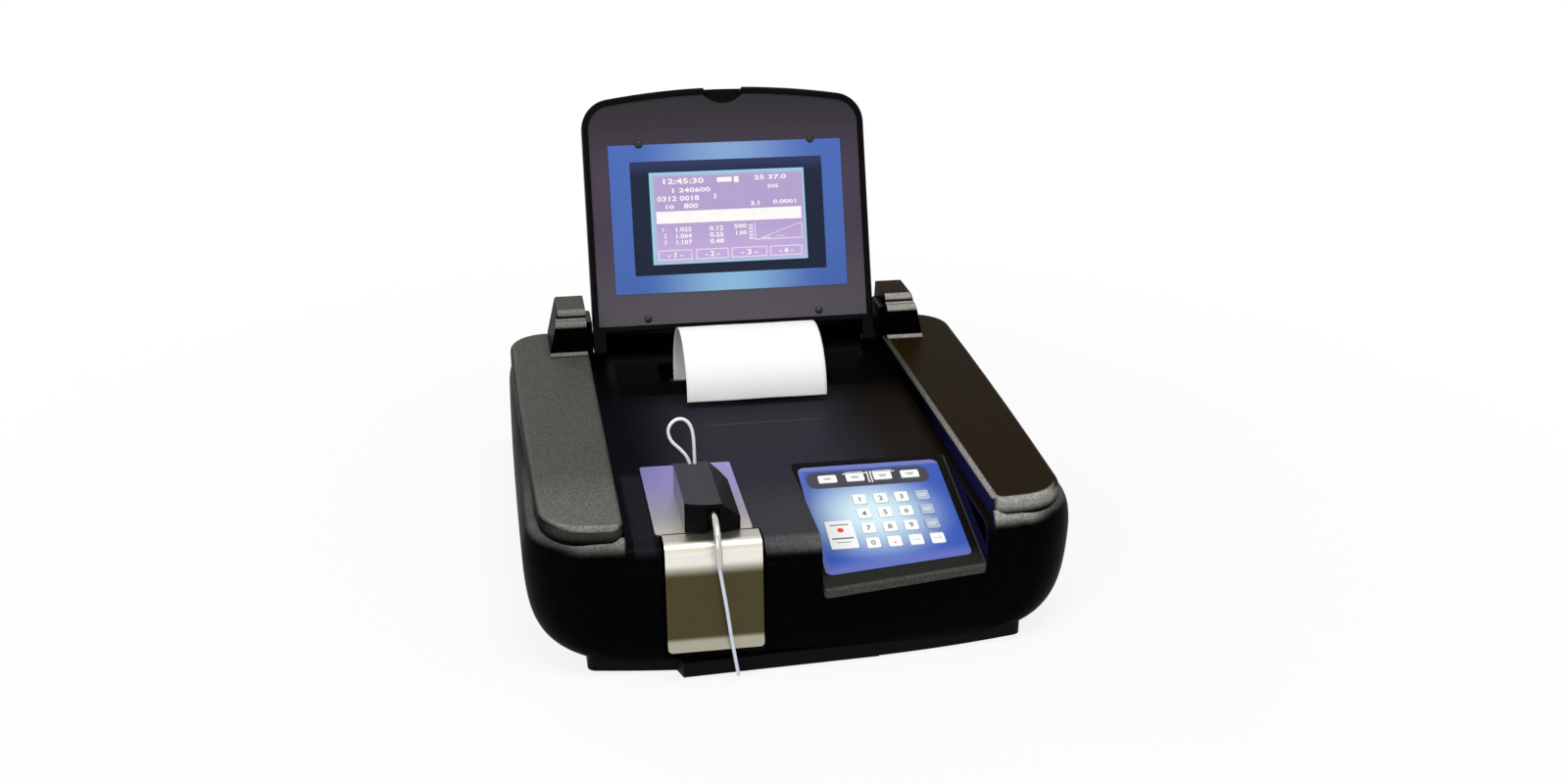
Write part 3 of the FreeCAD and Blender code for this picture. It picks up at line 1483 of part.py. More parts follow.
def main_board():
    """Main board with its chips and the two sockets that show through the rear panel."""
    z = (main_board_z, main_board_z + board_thickness)
    board = box(main_board_x, main_board_y, z)
    pieces = [board]
    wide = main_board_x[1] - main_board_x[0]
    deep = main_board_y[1] - main_board_y[0]
    for left, front, w, d in chip_shares:
        x = main_board_x[0] + wide * left
        y = main_board_y[0] + deep * front
        pieces.append(box((x, x + wide * w), (y, y + deep * d), (z[0], z[1] + chip_height)))
    back = (rear_panel_y + rear_sheet / 2 - socket_depth, rear_panel_y + rear_sheet / 2)
    pieces.append(box(data_socket_x, back, (z[1], data_socket_top_z)))
    pieces.append(box(power_socket_x, back, (z[1], power_socket_top_z)))
    board = joined(pieces)
    bore = rod_y(middle_of(power_socket_x), (back[1] - power_bore_depth, back[1] + overrun),
                 middle_of((z[1], power_socket_top_z)), power_bore_r)
    return board.cut(bore)


def save(name, shape):
    shape.translate(V(0, origin_shift_y, 0))
    shape.exportStep("parts/%s.step" % name)
    b = shape.optimalBoundingBox(False)
    state = "ok" if shape.isValid() and shape.Volume > 0 else "BAD"
    print("%-20s %3d solids %10.1f mm3  %s" % (name, len(shape.Solids), shape.Volume, state),
          [round(v, 1) for v in (b.XMin, b.XMax, b.YMin, b.YMax, b.ZMin, b.ZMax)])


makers = (upper_housing, base_pan, rubber_feet, base_screws, rear_panel, hinge_pins, keypad_tray,
          keypad_overlay, keypad_board, flow_cell_plate, trigger_switch, trigger_spring,
          printer_mechanism, printer_motor, printer_cover, optics_block, lamp, detector_board,
          filter_motor, pump_housing, main_board, waste_fitting, lid_shell, lid_bezel, display_overlay,
          display_module, bezel_screws, paper_roll, paper_strip, platen_roller, motor_pinion,
          filter_wheel, pump_rotor, trigger_plate, flow_cell_block, sipper_sleeve, sipper_tube,
          loop_tube, power_rocker)

os.makedirs("parts", exist_ok=True)
for maker in makers:
    save(maker.__name__, maker())
for key_name, key_x, key_s, key_extent in key_table():
    save(key_name, key_solid(key_x, key_s, key_extent))
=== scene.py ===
"""Benchtop chemistry analyzer, dressed for its photograph.

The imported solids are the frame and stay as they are. This script adds the camera, the studio,
a finish for every solid, and the pieces that are too fine for solids: tubes, spring, paper, the
picture on the screen, the prints on the keys and the screw heads.
"""

import json
import logging
import math
from collections.abc import Sequence
from dataclasses import dataclass, field
from enum import Enum

import bmesh
import bpy
import numpy as np
from mathutils import Matrix, Vector


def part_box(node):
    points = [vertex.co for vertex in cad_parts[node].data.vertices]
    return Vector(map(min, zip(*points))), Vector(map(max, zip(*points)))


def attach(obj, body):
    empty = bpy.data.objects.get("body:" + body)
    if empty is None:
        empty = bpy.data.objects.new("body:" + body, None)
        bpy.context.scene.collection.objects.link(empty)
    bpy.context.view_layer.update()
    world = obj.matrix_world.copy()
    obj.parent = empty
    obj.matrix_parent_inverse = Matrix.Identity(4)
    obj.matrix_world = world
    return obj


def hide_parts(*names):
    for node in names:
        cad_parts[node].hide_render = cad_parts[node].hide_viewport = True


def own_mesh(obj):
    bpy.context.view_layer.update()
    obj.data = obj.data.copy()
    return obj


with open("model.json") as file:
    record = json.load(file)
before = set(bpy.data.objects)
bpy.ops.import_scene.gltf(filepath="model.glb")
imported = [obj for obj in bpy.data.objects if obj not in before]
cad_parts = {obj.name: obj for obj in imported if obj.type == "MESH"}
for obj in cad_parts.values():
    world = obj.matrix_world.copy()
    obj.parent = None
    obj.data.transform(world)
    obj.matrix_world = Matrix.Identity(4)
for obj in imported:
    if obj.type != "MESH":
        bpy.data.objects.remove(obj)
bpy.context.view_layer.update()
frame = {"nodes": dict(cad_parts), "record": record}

log = logging.getLogger("analyzer")

Colour = tuple[float, float, float]
Point = tuple[float, float, float]
Span = tuple[float, float]
Box = tuple[float, float, float, float]
Boxes = Sequence[Box] | np.ndarray
Socket = bpy.types.NodeSocket
Value = Socket | float | Colour

MM = 0.001
PHOTO_WIDTH = 1600
NOISE_SPAN = (0.3, 0.7)
MERGE = 1e-7
WHITE = (1.0, 1.0, 1.0)
AXES = {"x": (1.0, 0.0, 0.0), "y": (0.0, 1.0, 0.0), "z": (0.0, 0.0, 1.0)}
LEFT, FRONT, UP = (-1.0, 0.0, 0.0), (0.0, -1.0, 0.0), (0.0, 0.0, 1.0)


def tone(red: float, green: float, blue: float) -> Colour:
    """Linear colour of a tone given in steps of 0 to 255.

    With s = step / 255, the linear value is ((s + 0.055) / 1.055) ** 2.4, or s / 12.92 when dark.

    Args:
        red: red step.
        green: green step.
        blue: blue step.

    Returns:
        The three linear values.
    """
    steps = np.array([red, green, blue]) / 255
    linear = np.where(steps > 0.04045, ((steps + 0.055) / 1.055) ** 2.4, steps / 12.92)
    return tuple(float(value) for value in linear)


class Grain(Enum):
    """How often a grain repeats along x, y and z: seldom along its scratches."""

    SPECKLE = (1.0, 1.0, 1.0)
    BRUSHED_ACROSS = (0.03, 1.0, 1.0)
    BRUSHED_UP = (1.0, 0.03, 0.03)
    FIBRES = (1.0, 0.4, 0.4)
    LANES_ACROSS = (0.12, 1.0, 1.0)
    LANES_BACK = (1.0, 0.12, 1.0)


@dataclass(frozen=True)
class Plane:
    """A flat place on the object, with its origin in mm, for pieces that lie on it."""

    origin: Point
    lean_deg: float

    def right(self) -> np.ndarray:
        """Unit vector to the right along the plane."""
        return np.array([1.0, 0.0, 0.0])

    def up(self) -> np.ndarray:
        """Unit vector up the plane: (0, cos lean, sin lean)."""
        lean = math.radians(self.lean_deg)
        return np.array([0.0, math.cos(lean), math.sin(lean)])

    def out(self) -> np.ndarray:
        """Unit vector out of the plane: right x up."""
        return np.cross(self.right(), self.up())

    def at(self, across: np.ndarray | float, up: np.ndarray | float,
           proud: np.ndarray | float) -> np.ndarray:
        """Points origin + across right + up up + proud out, given in mm.

        Args:
            across: distances to the right.
            up: distances up the plane.
            proud: distances out of it.

        Returns:
            Points in metres, with one more axis than across.
        """
        across, up, proud = np.broadcast_arrays(across, up, proud)
        points = (np.array(self.origin) + across[..., None] * self.right()
                  + up[..., None] * self.up() + proud[..., None] * self.out())
        return points * MM

    def reading(self, point: Vector) -> Span:
        """Distances in mm across and up the plane of a point in metres."""
        offset = np.array(point) / MM - np.array(self.origin)
        return float(offset @ self.right()), float(offset @ self.up())


LID = Plane(origin=(0.0, 139.2, 118.7), lean_deg=69.93)
TRAY = Plane(origin=(0.0, -92.0, 95.8), lean_deg=14.45)


def add_object(name: str, data: bpy.types.ID) -> bpy.types.Object:
    """Puts a mesh, curve, lamp or camera into the scene as an object.

    Args:
        name: name of the object.
        data: what it shows.

    Returns:
        The new object.
    """
    thing = bpy.data.objects.new(name, data)
    bpy.context.scene.collection.objects.link(thing)
    return thing


class Nodes:
    """A node tree under construction, with one short call for each kind of node."""

    def __init__(self, tree: bpy.types.NodeTree) -> None:
        """Starts on an emptied tree."""
        self.tree = tree
        tree.nodes.clear()

    def add(self, kind: str, **settings: object) -> bpy.types.Node:
        """Adds a node.

        Args:
            kind: Blender's name for the node type.
            settings: properties of the node.

        Returns:
            The new node.
        """
        node = self.tree.nodes.new(kind)
        for key, value in settings.items():
            setattr(node, key, value)
        return node

    def feed(self, socket: Socket, value: Value) -> None:
        """Links a socket to another, or sets its own value.

        Args:
            socket: input to fill.
            value: an output socket, a number or a vector.
        """
        if isinstance(value, Socket):
            self.tree.links.new(value, socket)
        elif socket.type == "RGBA" and len(value) == 3:
            socket.default_value = (*value, 1.0)
        else:
            socket.default_value = value

    def result(self, kind: str, inputs: dict[int | str, Value], output: int | str = 0,
               **settings: object) -> Socket:
        """Adds a node and feeds it.

        Args:
            kind: Blender's name for the node type.
            inputs: what goes into which input, by number or name.
            output: number or name of the output that is wanted.
            settings: properties of the node.

        Returns:
            That output.
        """
        node = self.add(kind, **settings)
        for key, value in inputs.items():
            self.feed(node.inputs[key], value)
        return node.outputs[output]

    def reckon(self, operation: str, first: Value, second: Value = 0.0) -> Socket:
        """Result of one Math operation on two numbers or sockets."""
        return self.result("ShaderNodeMath", {0: first, 1: second}, operation=operation)

    def times(self, *values: Value) -> Value:
        """Product of numbers and sockets, or 1 for none.

        Args:
            values: the factors.

        Returns:
            Their product, as a socket where there are two or more.
        """
        product = values[0] if values else 1.0
        for value in values[1:]:
            product = self.reckon("MULTIPLY", product, value)
        return product

    def most(self, first: Value, *others: Value) -> Value:
        """Largest of some numbers and sockets.

        Args:
            first: one of them.
            others: the others.

        Returns:
            The largest.
        """
        for other in others:
            first = self.reckon("MAXIMUM", first, other)
        return first

    def root(self, first: Value, second: Value) -> Socket:
        """Length sqrt(first^2 + second^2)."""
        return self.reckon("SQRT", self.reckon("ADD", self.times(first, first), self.times(second, second)))

    def step(self, value: Value, start: float, end: float) -> Socket:
        """Smooth step 3t^2 - 2t^3 from 0 at start to 1 at end, also with start above end.

        Args:
            value: what the step reads.
            start: value at which it is 0.
            end: value at which it is 1.

        Returns:
            The step.
        """
        return self.result("ShaderNodeMapRange", {
            "Value": value, "From Min": min(start, end), "From Max": max(start, end),
            "To Min": float(start > end), "To Max": float(start < end)}, "Result",
            interpolation_type="SMOOTHSTEP")

    def window(self, value: Value, stops: tuple[float, ...], unit: float = MM) -> Socket:
        """Smooth step from the first stop to the second, and back from the third to the fourth.

        Args:
            value: what the window reads.
            stops: two or four values in the unit.
            unit: the unit, which is a millimetre unless given.

        Returns:
            1 inside and 0 outside.
        """
        places = [stop * unit for stop in stops]
        rise = self.step(value, *places[:2])
        return self.times(rise, self.step(value, places[3], places[2])) if len(places) == 4 else rise

    def spread(self, value: Value, low: float, high: float) -> Socket:
        """Line from low at 0 to high at 1."""
        return self.result("ShaderNodeMapRange", {"Value": value, "To Min": low, "To Max": high}, "Result")

    def swing(self, value: Value, middle: float, reach: float) -> Socket:
        """Line from middle - reach at 0 to middle + reach at 1."""
        return self.spread(value, middle - reach, middle + reach)

    def blend(self, factor: Value, first: Value, second: Value) -> Socket:
        """Colour between two others, first at 0 and second at 1."""
        return self.result("ShaderNodeMix", {0: factor, 6: first, 7: second}, 2, data_type="RGBA")

    def seen(self) -> Socket:
        """1 for camera, mirror and glass rays, 0 for the light that falls on the object."""
        path = self.add("ShaderNodeLightPath").outputs
        return self.most(path["Is Camera Ray"], path["Is Glossy Ray"], path["Is Transmission Ray"])


class NodeSheet(Nodes):
    """A material under construction, with named distances of the shaded point in metres."""

    def __init__(self, name: str) -> None:
        """Starts the material with its shader and output.

        Args:
            name: name of the material.
        """
        self.material = bpy.data.materials.new(name)
        self.material.use_nodes = True
        super().__init__(self.material.node_tree)
        self.shader = self.add("ShaderNodeBsdfPrincipled")
        self.output = self.add("ShaderNodeOutputMaterial")
        self.feed(self.output.inputs["Surface"], self.shader.outputs["BSDF"])
        coordinates = self.add("ShaderNodeTexCoord").outputs
        self.place = coordinates["Object"]
        self.facing = coordinates["Normal"]
        self.distances: dict[str, Socket] = {}

    def along(self, direction: Point, origin: Point = (0.0, 0.0, 0.0)) -> Socket:
        """Distance of the shaded point from a plane: direction . (place - origin).

        Args:
            direction: unit vector across the plane.
            origin: a point of the plane, in metres.

        Returns:
            The distance.
        """
        moved = self.result("ShaderNodeVectorMath", {0: self.place, 1: tuple(origin)}, operation="SUBTRACT")
        return self.result("ShaderNodeVectorMath", {0: moved, 1: tuple(direction)}, "Value",
                           operation="DOT_PRODUCT")

    def turned(self, direction: Point) -> Socket:
        """Cosine between the surface's own normal and a direction of unit length."""
        return self.result("ShaderNodeVectorMath", {0: self.facing, 1: direction}, "Value",
                           operation="DOT_PRODUCT")

    def distance(self, name: str) -> Socket:
        """One of the named distances, made when it is first asked for.

        Args:
            name: x, y or z, out for |x|, or a name that was given to the sheet.

        Returns:
            The distance.
        """
        if name not in self.distances:
            self.distances[name] = (self.reckon("ABSOLUTE", self.distance("x")) if name == "out"
                                    else self.along(AXES[name]))
        return self.distances[name]

    def off(self, name: str, place: float) -> Socket:
        """Distance |d - place| of a named distance from a place in mm."""
        return self.reckon("ABSOLUTE", self.reckon("SUBTRACT", self.distance(name), place * MM))

    def lie_on(self, plane: Plane, place: Span) -> None:
        """Names the distances across and up a plane from a place on it.

        Args:
            plane: the plane.
            place: millimetres across and up the plane.
        """
        origin = plane.at(*place, 0.0)
        self.distances["across"] = self.along(plane.right(), origin)
        self.distances["up"] = self.along(plane.up(), origin)

    def where(self, **windows: tuple[float, ...]) -> Value:
        """Product of windows along named distances, in mm."""
        return self.times(*(self.window(self.distance(name), stops) for name, stops in windows.items()))

    def noise(self, spacing: float, octaves: float = 2.0, grain: Grain = Grain.SPECKLE) -> Socket:
        """Smooth noise in object space.

        Args:
            spacing: millimetres from one crest to the next.
            octaves: how many finer layers it has.
            grain: how often it repeats along each axis.

        Returns:
            A value from 0 to 1.
        """
        scale = tuple(repeat / (spacing * MM) for repeat in grain.value)
        mapping = self.result("ShaderNodeMapping", {"Vector": self.place, "Scale": scale})
        return self.result("ShaderNodeTexNoise", {"Vector": mapping, "Scale": 1.0, "Detail": octaves}, "Fac")

    def rounded_box(self, box: Box) -> Socket:
        """Mask of a rounded rectangle about the place that the sheet lies on.

        The distance is |max(q, 0)| + min(max(qx, qy), 0) - corner, with q = |p| - half + corner.

        Args:
            box: half width, half height, corner radius and half the width of the edge's fade, in mm.

        Returns:
            1 inside and 0 outside.
        """
        half_width, half_height, corner, soft = (size * MM for size in box)
        out_x, out_y = (self.reckon("SUBTRACT", self.reckon("ABSOLUTE", self.distance(name)), half - corner)
                        for name, half in (("across", half_width), ("up", half_height)))
        length = self.root(self.most(out_x, 0.0), self.most(out_y, 0.0))
        inner = self.reckon("MINIMUM", self.most(out_x, out_y))
        return self.step(self.reckon("ADD", length, inner), corner + soft, corner - soft)

    def bump(self, height: Value, depth: float) -> Socket:
        """Normal of a surface raised by height times depth millimetres."""
        return self.result("ShaderNodeBump", {"Distance": depth * MM, "Height": height}, "Normal")

    def use(self, **inputs: Value) -> None:
        """Feeds the shader's inputs by name, with underscores for blanks."""
        for key, value in inputs.items():
            self.feed(self.shader.inputs[key.replace("_", " ")], value)


@dataclass(frozen=True)
class Patch:
    """A tone, or tones, and where it lies over others.

    The mask is the product of share, of a window in mm along each distance that where names, of a window
    on the cosine to a direction for facing, and of a rounded rectangle for box.
    """

    over: "Colour | Tones"
    where: dict[str, tuple[float, ...]] = field(default_factory=dict)
    share: float = 1.0
    facing: tuple[Point, tuple[float, ...]] | None = None
    box: Box | None = None

    def mask(self, sheet: NodeSheet) -> Value:
        """How much of the patch shows.

        Args:
            sheet: material under construction.

        Returns:
            A value from 0 to the share.
        """
        parts = [sheet.where(**self.where), self.share]
        if self.facing:
            direction, stops = self.facing
            parts.append(sheet.window(sheet.turned(direction), stops, 1.0))
        if self.box:
            parts.append(sheet.rounded_box(self.box))
        return sheet.times(*parts)

    def lay(self, sheet: NodeSheet, colour: Value, *shares: Value) -> Socket:
        """Lays the patch over a colour.

        Args:
            sheet: material under construction.
            colour: what lies below.
            shares: further factors of its mask.

        Returns:
            The new colour.
        """
        over = self.over.colour(sheet) if isinstance(self.over, Tones) else self.over
        return sheet.blend(sheet.times(self.mask(sheet), *shares), colour, over)


@dataclass(frozen=True)
class Tones:
    """A tone with patches laid over it in order."""

    base: Colour
    patches: tuple[Patch, ...] = ()

    def colour(self, sheet: NodeSheet) -> Value:
        """The tone by place.

        Args:
            sheet: material under construction.

        Returns:
            The colour.
        """
        colour: Value = self.base
        for patch in self.patches:
            colour = patch.lay(sheet, colour)
        return colour


class Finish:
    """A surface of the object that paints its own material."""

    def make(self, name: str) -> bpy.types.Material:
        """Makes the material of this finish.

        Args:
            name: name of the material.

        Returns:
            The material.
        """
        sheet = NodeSheet(name)
        self.paint(sheet)
        return sheet.material

    def paint(self, sheet: NodeSheet) -> None:
        """Feeds the shader; each kind of finish has its own way."""
        raise NotImplementedError


@dataclass(frozen=True)
class Moulding(Finish):
    """Moulded plastic, nylon or rubber: slow drift of tone over a fine spark-eroded grain, in mm."""

    colour: Colour
    drift: float = 0.3
    drift_spacing: float = 40.0
    grain: float = 0.9
    depth: float = 0.05
    roughness: float = 0.5
    roughness_swing: float = 0.08
    gloss: float = 0.3
    clear: float = 0.0
    # Painted sheen: a lighter tone on faces that point up, where it is given.
    upper: Colour | None = None
    upper_facing: Span = (0.8, 0.95)

    def paint(self, sheet: NodeSheet) -> None:
        """Paints colour * (1 - drift .. 1 + drift), or upper as a painted sheen on what faces up, with grain
        in bump.

        Args:
            sheet: material under construction.
        """
        slow = sheet.noise(self.drift_spacing, octaves=3.0)
        fine = sheet.noise(self.grain)
        low, high = (tuple(c * (1 + way * self.drift) for c in self.colour) for way in (-1, 1))
        speck = sheet.reckon("ADD", sheet.times(slow, 0.5), sheet.times(fine, 0.5))
        colour = sheet.blend(sheet.step(speck, *NOISE_SPAN), low, high)
        if self.upper:
            colour = Patch(self.upper, facing=(UP, self.upper_facing)).lay(sheet, colour)
        sheet.use(Base_Color=colour, Roughness=sheet.swing(speck, self.roughness, self.roughness_swing),
                  Specular_IOR_Level=self.gloss, Transmission_Weight=self.clear,
                  Normal=sheet.bump(fine, self.depth))


@dataclass(frozen=True)
class Metal(Finish):
    """Bare or plated metal, brushed one way or only speckled, in mm."""

    colour: Colour
    grain: Grain = Grain.SPECKLE
    spacing: float = 0.6
    cloud_spacing: float = 25.0
    depth: float = 0.01
    dark: float = 0.8
    roughness: float = 0.3
    roughness_swing: float = 0.06

    def paint(self, sheet: NodeSheet) -> None:
        """Paints the grain in tone and bump, and slow clouds in roughness.

        Args:
            sheet: material under construction.
        """
        fine = sheet.noise(self.spacing, octaves=3.0, grain=self.grain)
        low = tuple(self.dark * c for c in self.colour)
        clouds = sheet.noise(self.cloud_spacing)
        sheet.use(Base_Color=sheet.blend(sheet.step(fine, *NOISE_SPAN), low, self.colour), Metallic=1.0,
                  Roughness=sheet.swing(clouds, self.roughness, self.roughness_swing),
                  Normal=sheet.bump(fine, self.depth))


@dataclass(frozen=True)
class Glow(Finish):
    """A lit mark on the screen, slightly uneven like a backlit panel."""

    colour: Colour
    dim: float = 0.85
    spacing: float = 9.0
    unlit: Colour = (0.02, 0.02, 0.02)
    roughness: float = 0.4

    def paint(self, sheet: NodeSheet) -> None:
        """Paints a light of colour * (dim .. 1).

        Args:
            sheet: material under construction.
        """
        low = tuple(self.dim * c for c in self.colour)
        sheet.use(Base_Color=self.unlit, Roughness=self.roughness, Emission_Strength=1.0,
                  Emission_Color=sheet.blend(sheet.noise(self.spacing), low, self.colour))


@dataclass(frozen=True)
class PlacedFinish(Finish):
    """Surface with tones by place under a fine grain, in mm.

    On a plane, across and up are distances from a place on it. Where they are given, slant holds d and s
    of up + d - s across, the distance from a slanted edge, and ring holds a, u and s of
    sqrt((across - a)^2 + s^2 (up - u)^2), the distance from a middle.
    """

    tones: Tones
    tint: Colour
    tint_share: float
    rough: Span
    plane: Plane | None = None
    place: Span = (0.0, 0.0)
    slant: Span | None = None
    ring: Point | None = None
    spacing: float = 0.5
    octaves: float = 2.0
    grain: Grain = Grain.SPECKLE
    depth: float = 0.01
    gloss: float = 0.5
    metallic: float = 0.0

    def measure(self, sheet: NodeSheet) -> None:
        """Names the distances that the patches ask for.

        Args:
            sheet: material under construction.
        """
        if self.plane:
            sheet.lie_on(self.plane, self.place)
        if self.slant:
            drop, slope = self.slant
            raised = sheet.reckon("ADD", sheet.distance("up"), drop * MM)
            fall = sheet.times(sheet.distance("across"), slope)
            sheet.distances["slant"] = sheet.reckon("SUBTRACT", raised, fall)
        if self.ring:
            across, up, stretch = self.ring
            sideways = sheet.reckon("SUBTRACT", sheet.distance("across"), across * MM)
            upward = sheet.times(sheet.reckon("SUBTRACT", sheet.distance("up"), up * MM), stretch)
            sheet.distances["ring"] = sheet.root(sideways, upward)

    def grained(self, sheet: NodeSheet, colour: Value, fine: Socket) -> Socket:
        """Colour with the grain's tint over it."""
        return sheet.blend(sheet.times(fine, self.tint_share), colour, self.tint)

    def paint(self, sheet: NodeSheet) -> None:
        """Paints the tones, and the grain in tone, roughness and bump.

        Args:
            sheet: material under construction.
        """
        self.measure(sheet)
        fine = sheet.noise(self.spacing, self.octaves, self.grain)
        sheet.use(Base_Color=self.grained(sheet, self.tones.colour(sheet), fine), Metallic=self.metallic,
                  Roughness=sheet.spread(fine, *self.rough), Specular_IOR_Level=self.gloss,
                  Normal=sheet.bump(fine, self.depth))


# Painted highlight tone along the tray's front and right lip.
TRAY_LIP_HIGHLIGHT = tone(84, 83, 79)


@dataclass(frozen=True)
class TrayFinish(PlacedFinish):
    """Dark pitted tray, greyer along its slanted front, with a painted highlight along the lip of its front
    and right edges.
    """

    tones: Tones = Tones(tone(15, 15, 13), (Patch(tone(40, 40, 37), dict(slant=(24.0, 10.0))),))
    tint: Colour = tone(8, 8, 7)
    tint_share: float = 0.4
    rough: Span = (0.38, 0.5)
    plane: Plane = TRAY
    slant: Span = (135.1, 0.115)
    spacing: float = 1.2
    depth: float = 0.06
    gloss: float = 0.03
    pits: Span = (0.6, 0.35)
    lips: tuple[Patch, ...] = (Patch(TRAY_LIP_HIGHLIGHT, dict(slant=(4.0, 2.4))),
                               Patch(TRAY_LIP_HIGHLIGHT, dict(x=(116.2, 117.2)), 0.8))
    lip_highlight_noise: Span = (0.5, 1.0)

    def grained(self, sheet: NodeSheet, colour: Value, fine: Socket) -> Socket:
        """Colour with the painted lip highlight and the pits over it.

        Args:
            sheet: material under construction.
            colour: tone by place.
            fine: the grain.

        Returns:
            The new colour.
        """
        edge = sheet.most(*(lip.mask(sheet) for lip in self.lips))
        colour = sheet.blend(sheet.times(edge, sheet.spread(fine, *self.lip_highlight_noise)), colour, TRAY_LIP_HIGHLIGHT)
        return sheet.blend(sheet.times(sheet.step(fine, *self.pits), self.tint_share), colour, self.tint)


# Tone of the painted highlights on the housing's edges and shoulders.
EDGE_HIGHLIGHT = tone(168, 166, 160)
RIGHT_HALF = dict(x=(-30.0, 60.0))
NEAR_FRONT = dict(y=(-100.0, -170.0))
ARM_OUT = (122.5, 125.0)
WALL_X = (110.0, 112.0, 131.0, 135.0)
STRIP_Y = (-207.0, -205.0, -96.0, -88.0)


@dataclass(frozen=True)
class HousingFinish(Finish):
    """Grained near-black housing with light painted into its colour: a grey painted sheen on the left
    arm's top faces and a brown one on the right, painted highlights on the edges, and a bluish deck.

    The deck is the sunken part between the arms. Its tones are painted light: painted shade to its
    sides and its back, a faint painted highlight along a crease, and at its left a pale painted
    highlight strip with a dark painted shade line along a groove. Spacings and depths are in mm.
    """

    black: Colour = tone(1, 1, 2)
    # Painted sheen on faces that point up: grey on the left arm, lighter to its front, brown on the right,
    # and again on the cowls.
    top_sheen: Patch = Patch(
        Tones(tone(85, 84, 79), (
            Patch(tone(105, 104, 99), NEAR_FRONT),
            Patch(tone(30, 20, 3), RIGHT_HALF),
            Patch(Tones(tone(82, 80, 74), (Patch(tone(36, 22, 4), RIGHT_HALF),)), dict(z=(111.0, 116.0))))),
        dict(z=(103.5, 108.5)), facing=(UP, (0.45, 0.93)))
    # Painted light on the arms' front faces: grey on the left arm and a bright painted highlight on the
    # right.
    front_highlights: Patch = Patch(
        Tones(tone(58, 58, 55), (Patch(tone(160, 158, 151), RIGHT_HALF),)),
        dict(z=(98.5, 105.0), out=ARM_OUT, y=(-100.0, -160.0)), facing=(FRONT, (0.3, 0.8)))
    # The deck's tones by place are painted light: a lighter painted sheen at its left and front, brown
    # painted light at its right and painted shade at its back.
    deck: Patch = Patch(
        Tones(tone(5, 6, 12), (
            Patch(Tones(tone(45, 46, 54), (Patch(tone(61, 60, 65), NEAR_FRONT),)), dict(x=(-112.0, -35.0))),
            Patch(tone(18, 12, 3), dict(x=(30.0, 95.0))),
            Patch(tone(2, 2, 3), dict(y=(15.0, 75.0))),
            # Painted highlight along the crease.
            Patch(tone(98, 98, 104), dict(crease=(1.0, 0.3), out=(58.0, 32.0)), 0.4),
            # Pale painted highlight strip beside the left step, and a dark painted shade line in its groove.
            Patch(tone(62, 62, 68), dict(strip=(7.8, 6.4), y=STRIP_Y), 0.22),
            Patch(tone(4, 4, 8), dict(groove=(1.1, 0.4), y=STRIP_Y), 0.7))),
        dict(out=(123.0, 122.2), z=(86.5, 92.5, 96.2, 96.7)))
    # Painted highlights on edges that face up and forward, on the deck's front nose and the arms, less at
    # the low outer corners.
    edges: Patch = Patch(EDGE_HIGHLIGHT, dict(z=(84.0, 90.0)), facing=((0.0, -0.643, 0.766), (0.78, 0.96)))
    edge_parts: tuple[Patch, ...] = (Patch(EDGE_HIGHLIGHT, dict(nose=(108.0, 0.0), out=(124.0, 122.0)), 0.3),
                                     Patch(EDGE_HIGHLIGHT, dict(out=ARM_OUT)))
    low_corners: Patch = Patch(EDGE_HIGHLIGHT, dict(z=(103.5, 100.5), out=(145.0, 168.0)))
    # Painted highlight on the body's shoulders.
    shoulders: Patch = Patch(EDGE_HIGHLIGHT, dict(z=(89.0, 94.0, 100.5, 103.5), y=(-20.0, -160.0), out=ARM_OUT),
                             facing=(UP, (0.4, 0.68, 0.85, 0.98)))
    # Painted bluish light on the right arm's inner side.
    wall_blue_light: Patch = Patch(tone(22, 22, 58), dict(x=WALL_X, y=(0.0, -120.0)), facing=(LEFT, (0.6, 0.9)))
    # Painted highlight along the right arm's inner top edge, stronger toward the front.
    wall_edge: Patch = Patch(EDGE_HIGHLIGHT, dict(x=WALL_X, z=(104.0, 107.0)),
                             facing=((-0.6, 0.0, 0.8), (0.84, 0.98)))
    wall_edge_y: Span = (100.0, -160.0)
    wall_edge_share: Span = (0.15, 0.8)
    middles: tuple[tuple[str, str, float], ...] = (
        ("crease", "y", -11.0), ("strip", "x", -110.75), ("groove", "x", -118.0), ("nose", "x", 12.0))
    edge_highlight_noise: Span = (0.4, 0.9)
    edge_side: Span = (0.75, 1.6)
    low_corner_share: Span = (1.0, 0.2)
    shoulder_highlight_noise: Span = (0.1, 0.36)
    pit: Colour = tone(12, 12, 13)
    pit_span: Span = (0.62, 0.36)
    pit_share: Span = (0.36, 0.26)
    grain_spacing: float = 1.7
    cloud_spacing: float = 50.0
    highlight_noise_spacing: float = 30.0
    rough: Span = (0.38, 0.50)
    deck_smoother: float = 0.10
    deck_grain: float = 0.4
    depth: float = 0.1
    gloss: float = 0.01

    def lay_painted_light(self, sheet: NodeSheet, colour: Value) -> Socket:
        """Lays painted highlights on edges and shoulders, and painted bluish light on the right arm's inner
        side, over a colour.

        Args:
            sheet: material under construction.
            colour: tone by place.

        Returns:
            The new colour.
        """
